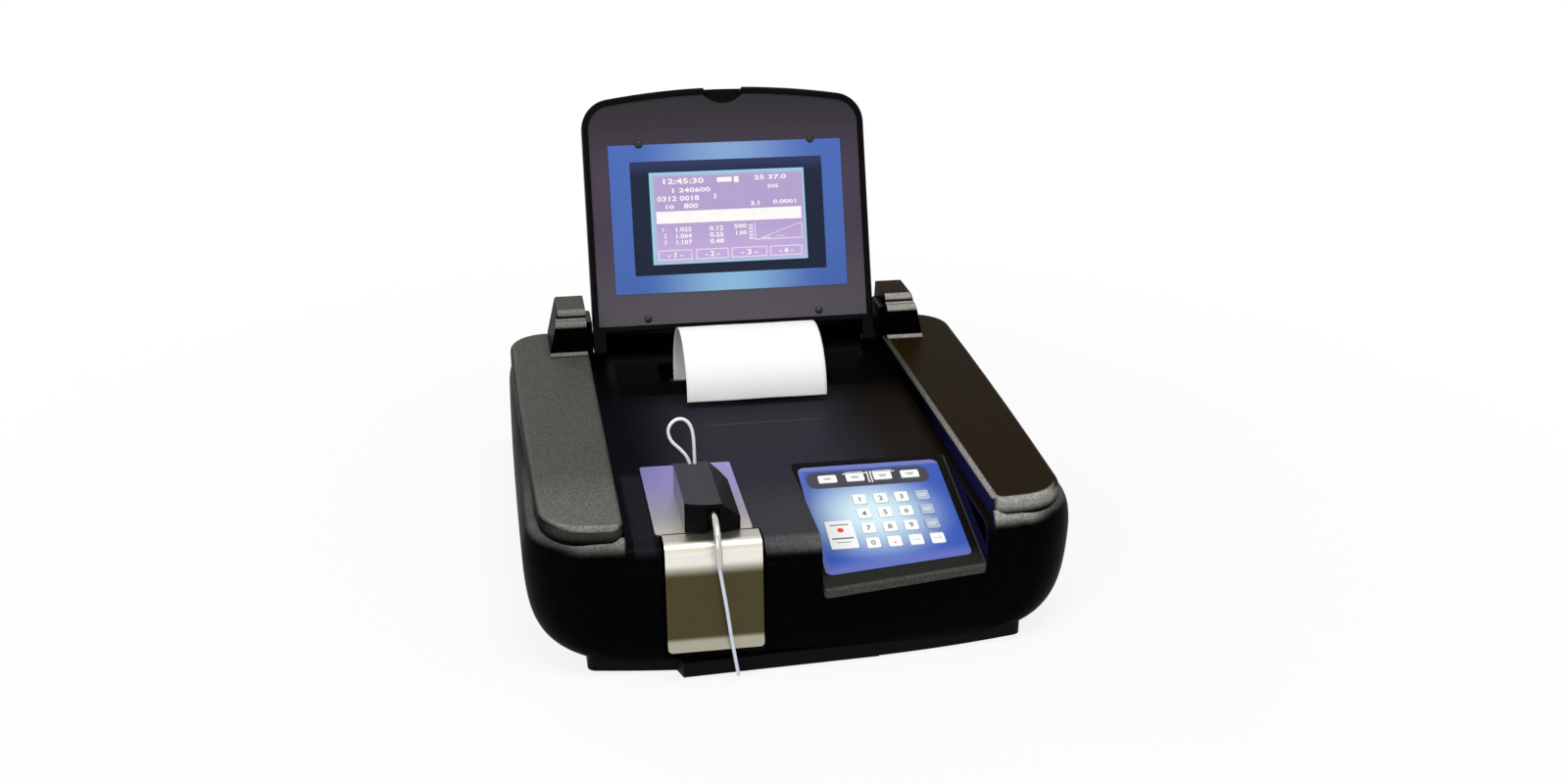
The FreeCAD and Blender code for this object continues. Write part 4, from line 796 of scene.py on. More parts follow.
        # Slow noise that breaks up the painted highlights.
        highlight_noise = sheet.noise(self.highlight_noise_spacing)
        right = sheet.where(**RIGHT_HALF)
        colour = self.edges.lay(
            sheet, colour, sheet.most(*(part.mask(sheet) for part in self.edge_parts)),
            sheet.spread(self.low_corners.mask(sheet), *self.low_corner_share),
            sheet.spread(highlight_noise, *self.edge_highlight_noise), sheet.spread(right, *self.edge_side))
        colour = self.shoulders.lay(sheet, colour, sheet.spread(highlight_noise, *self.shoulder_highlight_noise))
        colour = self.wall_blue_light.lay(sheet, colour)
        nearer = sheet.spread(sheet.where(y=self.wall_edge_y), *self.wall_edge_share)
        return self.wall_edge.lay(sheet, colour, nearer)

    def paint(self, sheet: NodeSheet) -> None:
        """Paints tones by place with painted light, painted edge highlights, and a leathery grain in tone,
        roughness and bump.

        Args:
            sheet: material under construction.
        """
        for name, axis, middle in self.middles:
            sheet.distances[name] = sheet.off(axis, middle)
        colour = self.front_highlights.lay(sheet, self.top_sheen.lay(sheet, self.black))
        deck = self.deck.mask(sheet)
        colour = self.lay_painted_light(sheet, sheet.blend(deck, colour, self.deck.over.colour(sheet)))
        fine = sheet.noise(self.grain_spacing)
        pits = sheet.times(sheet.step(fine, *self.pit_span), sheet.spread(deck, *self.pit_share))
        rough = sheet.spread(sheet.noise(self.cloud_spacing, octaves=3.0), *self.rough)
        sheet.use(Base_Color=sheet.blend(pits, colour, self.pit), Specular_IOR_Level=self.gloss,
                  Roughness=sheet.reckon("SUBTRACT", rough, sheet.times(deck, self.deck_smoother)),
                  Normal=sheet.bump(sheet.times(fine, sheet.spread(deck, 1.0, self.deck_grain)), self.depth))


SCREEN_RIM = tone(150, 206, 226)


@dataclass(frozen=True)
class ScreenFinish(Finish):
    """Lit screen: lilac in the middle, cyan white along its rim, and dark glass round it, in mm."""

    lilac: Colour = tone(174, 153, 198)
    pale: Colour = tone(190, 168, 214)
    pale_up: Span = (4.0, -34.0)
    cloud_share: float = 0.35
    cloud_spacing: float = 16.0
    rims: tuple[Patch, ...] = (
        Patch(SCREEN_RIM, dict(up=(33.2, 38.2))), Patch(SCREEN_RIM, dict(across=(-59.3, -65.3))),
        Patch(SCREEN_RIM, dict(across=(62.3, 65.3))), Patch(SCREEN_RIM, dict(up=(-33.2, -38.2)), 0.7))
    lit: Box = (65.3, 38.2, 0.5, 0.2)
    place: Span = (0.0, 92.8)
    glass: Colour = (0.02, 0.02, 0.03)
    unlit: Colour = (0.002, 0.002, 0.004)
    rough: Span = (0.12, 0.2)
    gloss: float = 0.2

    def paint(self, sheet: NodeSheet) -> None:
        """Paints a light inside the lit box.

        Args:
            sheet: material under construction.
        """
        sheet.lie_on(LID, self.place)
        slow = sheet.noise(self.cloud_spacing)
        base = sheet.blend(sheet.where(up=self.pale_up), self.lilac, self.pale)
        cloudy = sheet.blend(sheet.times(slow, self.cloud_share), base, self.pale)
        colour = sheet.blend(sheet.most(*(rim.mask(sheet) for rim in self.rims)), cloudy, SCREEN_RIM)
        sheet.use(Base_Color=self.glass, Roughness=sheet.spread(slow, *self.rough),
                  Specular_IOR_Level=self.gloss, Emission_Strength=1.0,
                  Emission_Color=sheet.blend(sheet.rounded_box(self.lit), self.unlit, colour))


@dataclass(frozen=True)
class BoardFinish(Finish):
    """Green circuit board with copper tracks under its lacquer, and dark parts above a height in mm."""

    lacquer: Colour = tone(18, 74, 44)
    track: Colour = tone(46, 118, 74)
    parts: Colour = tone(30, 30, 33)
    parts_z: Span = (1000.0, 1000.2)
    spacing: float = 2.6
    track_span: Span = (0.56, 0.58)
    rough: Span = (0.35, 0.5)
    gloss: float = 0.4
    depth: float = 0.03

    def paint(self, sheet: NodeSheet) -> None:
        """Paints tracks where noise that is stretched along x or y crosses a threshold.

        Args:
            sheet: material under construction.
        """
        lanes = (sheet.noise(self.spacing, octaves=1.0, grain=grain)
                 for grain in (Grain.LANES_ACROSS, Grain.LANES_BACK))
        mask = sheet.step(sheet.most(*lanes), *self.track_span)
        green = sheet.blend(mask, self.lacquer, self.track)
        sheet.use(Base_Color=sheet.blend(sheet.where(z=self.parts_z), green, self.parts),
                  Roughness=sheet.spread(mask, *self.rough), Specular_IOR_Level=self.gloss,
                  Normal=sheet.bump(mask, self.depth))


FILM_BORDER = tone(118, 126, 190)

FINISHES = {
    "housing_plastic": HousingFinish(),
    "lid_gloss": Moulding(tone(3, 3, 4), roughness=0.24, depth=0.012, gloss=0.06),
    "bezel_plastic": PlacedFinish(
        Tones(tone(95, 91, 97), (Patch(tone(77, 66, 83), dict(up=(0.0, 87.75))),
                                 Patch(tone(48, 46, 49), dict(up=(120.9, 195.0))))),
        tint=tone(40, 36, 42), tint_share=0.25, rough=(0.42, 0.55), plane=LID, spacing=0.7, depth=0.03,
        gloss=0.1),
    "panel_plastic": Moulding(tone(44, 44, 48), roughness=0.55),
    # Its upper tone is a painted grey sheen on the block's top faces.
    "block_plastic": Moulding(tone(7, 6, 6), roughness=0.36, depth=0.02, grain=0.6, gloss=0.04,
                              upper=tone(60, 58, 63)),
    "rocker_plastic": Moulding(tone(16, 16, 16), roughness=0.25, depth=0.01, gloss=0.5),
    "foot_rubber": Moulding(tone(28, 28, 28), roughness=0.8, grain=0.5, gloss=0.2),
    "platen_rubber": Moulding(tone(36, 36, 38), roughness=0.75, grain=0.5, gloss=0.2),
    "display_film": PlacedFinish(
        Tones(tone(80, 112, 188), (
            Patch(Tones(tone(138, 172, 218), (Patch(tone(148, 194, 230), dict(up=(0.0, -48.0))),)),
                  dict(out=(78.0, 0.0))),
            Patch(Tones(tone(30, 40, 58), (Patch(tone(50, 58, 96), dict(up=(34.0, 46.0))),)),
                  box=(80.8, 47.15, 1.5, 0.25)))),
        tint=tone(20, 24, 60), tint_share=0.12, rough=(0.34, 0.44), plane=LID, place=(0.0, 93.15),
        gloss=0.1),
    "keypad_film": PlacedFinish(
        Tones(tone(60, 92, 186), (
            Patch(tone(214, 240, 248), dict(ring=(62.0, 6.2))),
            Patch(FILM_BORDER, dict(up=(9.6, 12.5))),
            Patch(FILM_BORDER, dict(across=(-43.0, -49.0)), 0.55),
            Patch(FILM_BORDER, dict(slant=(14.0, 3.0)), 0.6),
            Patch(tone(70, 68, 76), box=(44.4, 9.0, 7.0, 0.3)))),
        tint=tone(40, 50, 110), tint_share=0.08, rough=(0.36, 0.46), plane=TRAY, place=(57.6, -20.0),
        slant=(93.9, 0.104), ring=(-4.6, -40.0, 62 / 55), spacing=0.6, depth=0.012, gloss=0.12),
    "key_white": Moulding(tone(244, 247, 245), drift=0.03, roughness=0.42, depth=0.01),
    "key_blue": Moulding(tone(170, 186, 208), drift=0.05, roughness=0.42, depth=0.01),
    "screen_glass": ScreenFinish(),
    # The stainless tones are painted reflections: a lavender painted reflection of the screen's light at the
    # back, paler toward the front.
    "stainless": PlacedFinish(
        Tones(tone(191, 186, 197), (
            Patch(tone(183, 173, 228), dict(y=(-160.0, -110.0))),
            Patch(tone(218, 214, 200), dict(y=(-160.0, -186.0))),
            # Painted highlight along the top bend.
            Patch(tone(250, 248, 238), dict(z=(79.0, 84.0, 90.0, 93.5))),
            # Dark olive painted reflection on the front face.
            Patch(tone(78, 72, 48), dict(z=(83.0, 74.0))),
            # Pale painted highlight on the lower flare.
            Patch(tone(176, 172, 154), dict(z=(33.0, 29.0))))),
        tint=tone(60, 57, 46), tint_share=0.22, rough=(0.26, 0.40), octaves=3.0,
        grain=Grain.BRUSHED_ACROSS, depth=0.012, metallic=1.0),
    "sleeve_steel": Metal(tone(206, 204, 198), roughness=0.22),
    "pin_steel": Metal(tone(190, 190, 192), Grain.BRUSHED_UP),
    "spring_steel": Metal(tone(150, 150, 154), roughness=0.28),
    "frame_steel": Metal(tone(168, 170, 172), Grain.BRUSHED_ACROSS, roughness=0.36),
    "screw_steel": Metal(tone(176, 176, 174)),
    "screw_black": Moulding(tone(26, 26, 28), roughness=0.3, depth=0.01, gloss=0.5),
    "motor_metal": Metal(tone(142, 144, 150), Grain.BRUSHED_ACROSS, roughness=0.4),
    "anodised_aluminium": Metal(tone(58, 58, 62), roughness=0.5),
    "lamp_glass": Moulding(tone(226, 222, 206), roughness=0.2, depth=0.005, gloss=0.6, clear=0.3),
    "circuit_board": BoardFinish(),
    "fitting_nylon": Moulding(tone(228, 226, 214), drift=0.06, roughness=0.45),
    "gear_nylon": Moulding(tone(232, 230, 222), drift=0.05, roughness=0.45),
    "thermal_paper": PlacedFinish(
        Tones(tone(254, 254, 253)), tint=tone(240, 240, 237), tint_share=0.2, rough=(0.6, 0.75),
        spacing=0.4, octaves=4.0, grain=Grain.FIBRES, gloss=0.3),
    "tube_clear": Moulding(tone(226, 236, 250), drift=0.03, roughness=0.22, depth=0.005, gloss=0.5,
                           clear=0.15),
    "tube_white": Moulding(tone(254, 254, 251), drift=0.01, roughness=0.35, depth=0.008, gloss=0.4),
    "keypad_tray": TrayFinish(),
    "printer_cover": Moulding(tone(4, 4, 5), roughness=0.44, grain=1.2, depth=0.04, gloss=0.005),
    "base_pan": Moulding(tone(6, 6, 6), gloss=0.06),
    "main_board": BoardFinish(parts_z=(32.9, 33.1)),
    "ink_grey": Moulding(tone(96, 98, 100), drift=0.12),
    "ink_pale": Moulding(tone(196, 198, 204), drift=0.05),
    "ink_red": Moulding(tone(226, 78, 36), drift=0.1),
    "ink_white": Moulding(tone(236, 236, 236), drift=0.04),
    "lit_white": Glow(tone(255, 252, 250)),
    "lit_pale": Glow(tone(236, 222, 244)),
}


class Finisher:
    """Makes each finish once and puts it on the pieces that ask for it."""

    def __init__(self) -> None:
        """Starts with nothing made."""
        self.made: dict[str, bpy.types.Material] = {}

    def dress(self, piece: bpy.types.Object, name: str) -> None:
        """Replaces every material of a piece by one finish, made at its first use.

        Args:
            piece: the piece.
            name: name of the finish.
        """
        if name not in self.made:
            self.made[name] = FINISHES[name].make(name)
        piece.data.materials.clear()
        piece.data.materials.append(self.made[name])

    def dress_solids(self) -> None:
        """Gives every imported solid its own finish, or the finish of its slot in the record."""
        slots = {part["node"]: part["material_slot"] for part in frame["record"]["subparts"]}
        for node, piece in frame["nodes"].items():
            finish = node if node in FINISHES else slots[node]
            self.dress(piece, finish)
            log.info("solid %s has finish %s", node, finish)


FINISHER = Finisher()


def put_piece(name: str, points: np.ndarray, faces: np.ndarray | list, finish: str, body: str,
              smooth: bool = True) -> bpy.types.Object:
    """Makes a mesh piece in place, dresses it and lets it ride on a body.

    Args:
        name: name of the piece.
        points: vertices in metres.
        faces: vertex numbers of each face.
        finish: name of the finish.
        body: body that the piece moves with.
        smooth: whether its faces are shaded smooth.

    Returns:
        The new object.
    """
    mesh = bpy.data.meshes.new(name)
    places = np.asarray(points).reshape(-1, 3).tolist()
    mesh.from_pydata(places, [], [list(map(int, face)) for face in faces])
    shell = bmesh.new()
    shell.from_mesh(mesh)
    bmesh.ops.remove_doubles(shell, verts=shell.verts, dist=MERGE)
    bmesh.ops.recalc_face_normals(shell, faces=shell.faces)
    shell.to_mesh(mesh)
    shell.free()
    mesh.polygons.foreach_set("use_smooth", np.full(len(mesh.polygons), smooth))
    piece = add_object(name, mesh)
    FINISHER.dress(piece, finish)
    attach(piece, body)
    log.info("piece %s: %d faces on %s", name, len(mesh.polygons), body)
    return piece


def grid_faces(rows: int, columns: int) -> np.ndarray:
    """Quads (i, j), (i, j + 1), (i + 1, j + 1), (i + 1, j) of a grid whose last column joins the first.

    Args:
        rows: points along the first axis.
        columns: points along the second axis.

    Returns:
        One row of four vertex numbers for each face.
    """
    i, j = np.meshgrid(np.arange(rows - 1) * columns, np.arange(columns), indexing="ij")
    k = (j + 1) % columns
    return np.stack([i + j, i + k, i + columns + k, i + columns + j], -1).reshape(-1, 4)


def fold_faces(row: int, columns: int) -> np.ndarray:
    """Quads k, k + 1, n - 2 - k, n - 1 - k that close one ring of a grid, row by row of n columns."""
    k = np.arange(columns // 2 - 1)
    return row * columns + np.stack([k, k + 1, columns - 2 - k, columns - 1 - k], 1)


def slab(plane: Plane, boxes: Boxes, proud: Span) -> tuple[np.ndarray, np.ndarray]:
    """Thin boxes on a plane, all as one mesh.

    Box n spans x0 <= x <= x1 and v0 <= v <= v1, from proud[0] to proud[1]; its corner c uses bit 0 of
    c for x, bit 1 for v and bit 2 for the height.

    Args:
        plane: plane that the boxes lie on.
        boxes: x0, x1, v0 and v1 of each, in mm.
        proud: lower and upper height above the plane in mm.

    Returns:
        Points in metres and faces.
    """
    spans = np.asarray(boxes, float)
    corner = np.arange(8)
    across = spans[:, [0, 1]][:, corner & 1]
    up = spans[:, [2, 3]][:, (corner >> 1) & 1]
    height = np.array(proud)[(corner >> 2) & 1] * np.ones_like(across)
    sides = np.array([[0, 2, 3, 1], [4, 5, 7, 6], [0, 1, 5, 4], [2, 6, 7, 3], [0, 4, 6, 2], [1, 3, 7, 5]])
    faces = (sides[None] + len(corner) * np.arange(len(spans))[:, None, None]).reshape(-1, 4)
    return plane.at(across, up, height).reshape(-1, 3), faces


@dataclass(frozen=True)
class Words:
    """Digits and plain signs set on a plane, centred across and standing on their foot, in mm."""

    text: str
    middle: float
    foot: float
    height: float
    width: float | None = None
    curve_steps: int = 2

    def outline(self, weight: float) -> tuple[np.ndarray, list[list[int]]]:
        """Flat outline in the letters' own size.

        Args:
            weight: how far the strokes are swollen, as a share of the letter size.

        Returns:
            Points and faces.
        """
        curve = bpy.data.curves.new("digits", "FONT")
        curve.body = self.text
        curve.resolution_u = self.curve_steps
        curve.offset = weight
        holder = add_object("digits", curve)
        graph = bpy.context.evaluated_depsgraph_get()
        mesh = bpy.data.meshes.new_from_object(holder.evaluated_get(graph))
        flat = np.zeros(len(mesh.vertices) * 3)
        mesh.vertices.foreach_get("co", flat)
        faces = [list(polygon.vertices) for polygon in mesh.polygons]
        bpy.data.objects.remove(holder)
        bpy.data.meshes.remove(mesh)
        bpy.data.curves.remove(curve)
        return flat.reshape(-1, 3), faces

    def set_on(self, plane: Plane, proud: float, weight: float) -> tuple[np.ndarray, list[list[int]]]:
        """Outline on a plane.

        The letters' points p go to middle + (p.x - their middle) s and foot + (p.y - their foot) s, with
        s = height / their height, and the width, where it is given, stretches them across.

        Args:
            plane: plane that the digits lie on.
            proud: height above the plane in mm.
            weight: how far the strokes are swollen, as a share of the letter size.

        Returns:
            Points in metres and faces.
        """
        flat, faces = self.outline(weight)
        low, high = flat.min(0), flat.max(0)
        scale_up = self.height / (high[1] - low[1])
        scale_across = self.width / (high[0] - low[0]) if self.width else scale_up
        across = self.middle + (flat[:, 0] - (low[0] + high[0]) / 2) * scale_across
        return plane.at(across, self.foot + (flat[:, 1] - low[1]) * scale_up, proud), faces


@dataclass(frozen=True)
class PrintedFace:
    """A surface that is printed on: its plane, the heights of its face and ink in mm, and its slot."""

    plane: Plane
    face: float
    ink: float
    slot: str
    weight: float = 0.0
    sink: float = 0.02
    back: float = 0.04

    def bars(self, name: str, boxes: Boxes, finish: str, body: str) -> None:
        """Prints thin raised bars.

        Args:
            name: name of the piece.
            boxes: x0, x1, v0 and v1 of each bar, in mm.
            finish: name of the finish.
            body: body that the print moves with.
        """
        points, faces = slab(self.plane, boxes, (self.face - self.sink, self.face + self.ink))
        put_piece(name, points, faces, finish, body, smooth=False)

    def words(self, name: str, lines: list[Words], finish: str, body: str) -> None:
        """Prints digits, with a back of their own.

        Args:
            name: name of the piece.
            lines: the digits and where they go.
            finish: name of the finish.
            body: body that the print moves with.
        """
        all_points, all_faces, start = [], [], 0
        for line in lines:
            points, faces = line.set_on(self.plane, self.face + self.ink, self.weight)
            all_points.append(points)
            all_faces += [[vertex + start for vertex in face] for face in faces]
            start += len(points)
        piece = put_piece(name, np.concatenate(all_points), all_faces, finish, body, smooth=False)
        solid = piece.modifiers.new("back", "SOLIDIFY")
        solid.thickness = self.back * MM
        solid.offset = -1.0


@dataclass
class PhotoCamera:
    """Camera at the photograph's viewing angle, with its place in mm and its turns in radians."""

    place: Point = (-194.8, -1162.1, 590.0)
    yaw: float = 0.180
    pitch: float = 0.383
    roll: float = 0.0075
    focal_px: float = 1700.0
    sensor: float = 36.0
    reach: float = 100.0

    def turn(self) -> np.ndarray:
        """Rotation matrix whose columns are the camera's right, up and back.

        Forward is (sin yaw cos pitch, cos yaw cos pitch, -sin pitch); right and up are turned by roll.

        Returns:
            The matrix.
        """
        forward = np.array([math.sin(self.yaw) * math.cos(self.pitch),
                            math.cos(self.yaw) * math.cos(self.pitch), -math.sin(self.pitch)])
        right = np.array([math.cos(self.yaw), -math.sin(self.yaw), 0.0])
        up = np.cross(right, forward)
        c, s = math.cos(self.roll), math.sin(self.roll)
        return np.stack([c * right + s * up, -s * right + c * up, -forward], axis=1)

    def make(self) -> None:
        """Creates the camera and makes it the scene's own."""
        data = bpy.data.cameras.new("photo_camera")
        data.sensor_width = self.sensor
        data.sensor_fit = "HORIZONTAL"
        data.lens = self.focal_px / PHOTO_WIDTH * self.sensor
        data.clip_end = self.reach
        camera = add_object("photo_camera", data)
        turn = Matrix(self.turn().tolist()).to_4x4()
        camera.matrix_world = Matrix.Translation(Vector(self.place) * MM) @ turn
        bpy.context.scene.camera = camera
        log.info("camera with lens %.2f mm", data.lens)


@dataclass
class Lamp:
    """One soft rectangular lamp, in metres and watts."""

    name: str
    place: Point
    target: Point
    size: Span
    power: float

    def make(self) -> None:
        """Creates the lamp, turned to its target."""
        data = bpy.data.lights.new(self.name, "AREA")
        data.shape = "RECTANGLE"
        data.size, data.size_y = self.size
        data.energy = self.power
        lamp = add_object(self.name, data)
        lamp.location = self.place
        lamp.rotation_mode = "QUATERNION"
        lamp.rotation_quaternion = (Vector(self.target) - Vector(self.place)).to_track_quat("-Z", "Y")
        log.info("lamp %s of %.0f W", self.name, self.power)


@dataclass
class Studio:
    """Pale floor, white surroundings and soft lamps, in metres."""

    floor_half: float = 8.0
    floor_glow: float = 0.86
    floor_tones: Span = (0.80, 0.84)
    floor_roughness: float = 0.9
    cloud_spacing: float = 900.0
    fade: Span = (0.3, 0.8)
    surround: float = 0.40
    lamps: list[Lamp] = field(default_factory=lambda: [
        Lamp("overhead", (0.1, -0.55, 1.9), (0.0, 0.0, 0.05), (1.1, 0.3), 19.0),
        Lamp("behind_left", (-0.9, 1.7, 1.0), (-0.1, 0.0, 0.08), (1.2, 0.8), 11.0),
        Lamp("front_left", (-1.3, -1.7, 1.1), (0.0, 0.0, 0.12), (0.9, 0.9), 13.0),
    ])

    def make_floor(self) -> None:
        """Lays the floor, white where it is seen and far off, and shaded near the object."""
        half = self.floor_half
        mesh = bpy.data.meshes.new("floor")
        mesh.from_pydata([(-half, -half, 0), (half, -half, 0), (half, half, 0), (-half, half, 0)], [],
                         [(0, 1, 2, 3)])
        floor = add_object("floor", mesh)
        sheet = NodeSheet("floor_white")
        away = sheet.result("ShaderNodeVectorMath", {0: sheet.place}, "Value", operation="LENGTH")
        low, high = ((grey, grey, grey) for grey in self.floor_tones)
        sheet.use(Base_Color=sheet.blend(sheet.noise(self.cloud_spacing), low, high),
                  Roughness=self.floor_roughness, Specular_IOR_Level=0.0)
        glow = sheet.result("ShaderNodeEmission", {"Strength": 1.0})
        share = sheet.times(sheet.seen(), sheet.spread(sheet.step(away, *self.fade), self.floor_glow, 1.0))
        mixed = sheet.result("ShaderNodeMixShader", {0: share, 1: sheet.shader.outputs["BSDF"], 2: glow})
        sheet.feed(sheet.output.inputs["Surface"], mixed)
        mesh.materials.append(sheet.material)

    def make_surround(self) -> None:
        """Makes the surroundings white where they are seen and plain soft light elsewhere."""
        world = bpy.data.worlds.new("surround")
        bpy.context.scene.world = world
        world.use_nodes = True
        nodes = Nodes(world.node_tree)
        strength = nodes.spread(nodes.seen(), self.surround, 1.0)
        white = nodes.result("ShaderNodeBackground", {"Color": WHITE, "Strength": strength})
        nodes.feed(nodes.add("ShaderNodeOutputWorld").inputs["Surface"], white)

    def make(self) -> None:
        """Builds floor, surroundings and lamps."""
        bpy.context.scene.view_settings.view_transform = "Standard"
        self.make_floor()
        self.make_surround()
        for lamp in self.lamps:
            lamp.make()


@dataclass
class Tube:
    """A free tube, as a smooth spline from end to end of its route that keeps near its points, in mm."""

    name: str
    node: str
    body: str
    diameter: float
    length: float
    far_end: str
    stiffness: str
    lay: str
    finish: str
    route: tuple[Point, ...]
    order: int = 3
    steps_along: int = 24
    steps_round: int = 6

    def make(self) -> None:
        curve = bpy.data.curves.new(self.name, "CURVE")
        curve.dimensions = "3D"
        curve.bevel_depth = self.diameter / 2 * MM
        curve.bevel_resolution = self.steps_round
        curve.resolution_u = self.steps_along
        curve.use_fill_caps = True
        spline = curve.splines.new("NURBS")
        spline.points.add(len(self.route) - 1)
        places = np.array(self.route) * MM
        spline.points.foreach_set("co", np.c_[places, np.ones(len(places))].ravel())
        spline.order_u = self.order
        spline.use_endpoint_u = True
        piece = add_object(self.name, curve)
        FINISHER.dress(piece, self.finish)
        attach(piece, self.body)
        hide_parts(self.node)
        log.info("tube %s of %.0f mm", self.name, self.length)


SIPPER = Tube(
    name="sample_tube", node="sipper_tube", body="flow_cell", diameter=2.4, length=82.0, far_end="bare",
    stiffness="medium", lay="hanging", finish="tube_clear",
    route=((-64.7, -220.5, 86.0), (-63.1, -221.9, 74.0), (-60.2, -222.6, 56.0), (-57.3, -222.0, 33.0),
           (-52.6, -221.2, 5.0)))

LOOP = Tube(
    name="overflow_loop", node="loop_tube", body="flow_cell", diameter=2.2, length=81.0, far_end="object",
    stiffness="medium", lay="loose", finish="tube_white",
    route=((-71.6, -126.0, 117.0), (-73.0, -126.1, 122.0), (-78.2, -126.2, 128.6), (-84.6, -126.3, 135.0),
           (-86.6, -126.4, 143.0), (-83.4, -126.5, 149.2), (-77.8, -126.6, 151.6), (-72.4, -126.6, 148.8),
           (-69.4, -126.6, 142.0), (-68.6, -126.5, 133.0), (-68.4, -126.3, 125.0), (-68.1, -126.2, 117.0)))


@dataclass
class TriggerSpring:
    """Return spring behind the trigger plate, in mm."""

    node: str = "trigger_spring"
    wire: float = 0.8
    turns: int = 5
    end_turns: float = 0.8
    end_share: float = 0.01
    points: int = 240
    sides: int = 10
    press: float = 2.65

    def make(self) -> None:
        """Sweeps a ring along (x, z) = c + r (cos a, sin a) with y rising between two flat end turns."""
        low, high = (np.array(corner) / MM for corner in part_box(self.node))
        radius = (high[2] - low[2] - self.wire) / 2
        middle = (low + high) / 2
        front, back = low[1] + self.wire / 2, high[1] - self.wire / 2
        turn = np.linspace(0, self.turns + 2 * self.end_turns, self.points)
        rise = np.clip((turn - self.end_turns) / self.turns, 0, 1)
        along = np.clip(rise * (1 + 2 * self.end_share) - self.end_share, 0, 1)
        angle = 2 * np.pi * turn
        outward = np.stack([np.cos(angle), np.zeros_like(angle), np.sin(angle)], 1)
        line = np.array([middle[0], front, middle[2]]) + radius * outward
        line[:, 1] += (back - front) * along
        ring = np.linspace(0, 2 * np.pi, self.sides, endpoint=False)[None, :, None]
        backward = np.array([0.0, 1.0, 0.0])
        tube = line[:, None] + self.wire / 2 * (np.cos(ring) * outward[:, None] + np.sin(ring) * backward)
        first, total = np.arange(self.sides), self.points * self.sides
        faces = [*grid_faces(self.points, self.sides), first, first + total - self.sides]
        piece = put_piece("return_spring", tube * MM, faces, "spring_steel", "base_unit")
        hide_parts(self.node)
        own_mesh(piece)


@dataclass
class PaperStrip:
    """Printed strip that rises from its slot and curls over to the front, in mm."""

    half_width: float = 55.0
    thickness: float = 0.22
    rise_y: float = 117.6
    rise_z: Span = (70.5, 95.0)
    arch_centre: Span = (69.7, 95.0)
    curl_centre: Span = (65.58, 97.65)
    curl_radius: float = 43.0
    end_turn: float = -4.0
    rise_points: int = 18
    arch_points: int = 80
    curl_points: int = 24
    columns: int = 45
    sway: float = 0.35
    waves: float = 1.7
    wave_start: float = 0.6
    fold_height: float = 96.0
    fold_keep: float = 0.03

    def arc(self, centre: np.ndarray, radius: float, start: float, end: float, points: int) -> np.ndarray:
        """Points centre + radius (cos a, sin a) with a from start to end, without the first."""
        turn = np.linspace(start, end, points)[1:]
        return centre + radius * np.stack([np.cos(turn), np.sin(turn)], 1)

    def centreline(self) -> np.ndarray:
        """Points (y, z) up the rise, round the arch and round the curl, about 1.5 mm apart.

        The arch meets the curl where both circles touch, on the line through their centres.

        Returns:
            One row of y and z for each point.
        """
        arch, curl = np.array(self.arch_centre), np.array(self.curl_centre)
        meet = math.atan2(*(curl - arch)[::-1])
        end = math.pi + math.radians(self.end_turn)
        rise = np.linspace((self.rise_y, self.rise_z[0]), (self.rise_y, self.rise_z[1]), self.rise_points)
        return np.concatenate([rise, self.arc(arch, self.rise_y - arch[0], 0.0, meet, self.arch_points),
                               self.arc(curl, self.curl_radius, meet, end, self.curl_points)])

    def make(self) -> None:
        """Builds the strip as a sheet with a back.

        A point is (x, y + n_y w, z + n_z w) with w = sway sin(waves pi x / half width + start) t^2, and t
        from 0 at the slot to 1 at the free end.
        """
        line = self.centreline()
        step = np.gradient(line, axis=0)
        normal = np.stack([-step[:, 1], step[:, 0]], 1) / np.linalg.norm(step, axis=1)[:, None]
        x = np.linspace(-self.half_width, self.half_width, self.columns)
        along = np.linspace(0, 1, len(line))[:, None]
        wave = self.sway * np.sin(self.waves * np.pi * x / self.half_width + self.wave_start) * along ** 2
        sides = []
        for offset in (wave - self.thickness / 2, wave + self.thickness / 2):
            sides.append(np.stack([np.broadcast_to(x, wave.shape), line[:, :1] + normal[:, :1] * offset,
                                   line[:, 1:] + normal[:, 1:] * offset], -1))
        loop = np.concatenate([sides[0], sides[1][:, ::-1]], axis=1)
        rows, columns = loop.shape[:2]
        faces = [grid_faces(rows, columns), fold_faces(0, columns), fold_faces(rows - 1, columns)]
        piece = put_piece("printed_strip", loop * MM, np.concatenate(faces), "thermal_paper",
                          "base_unit")
        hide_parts("paper_strip")
        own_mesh(piece)


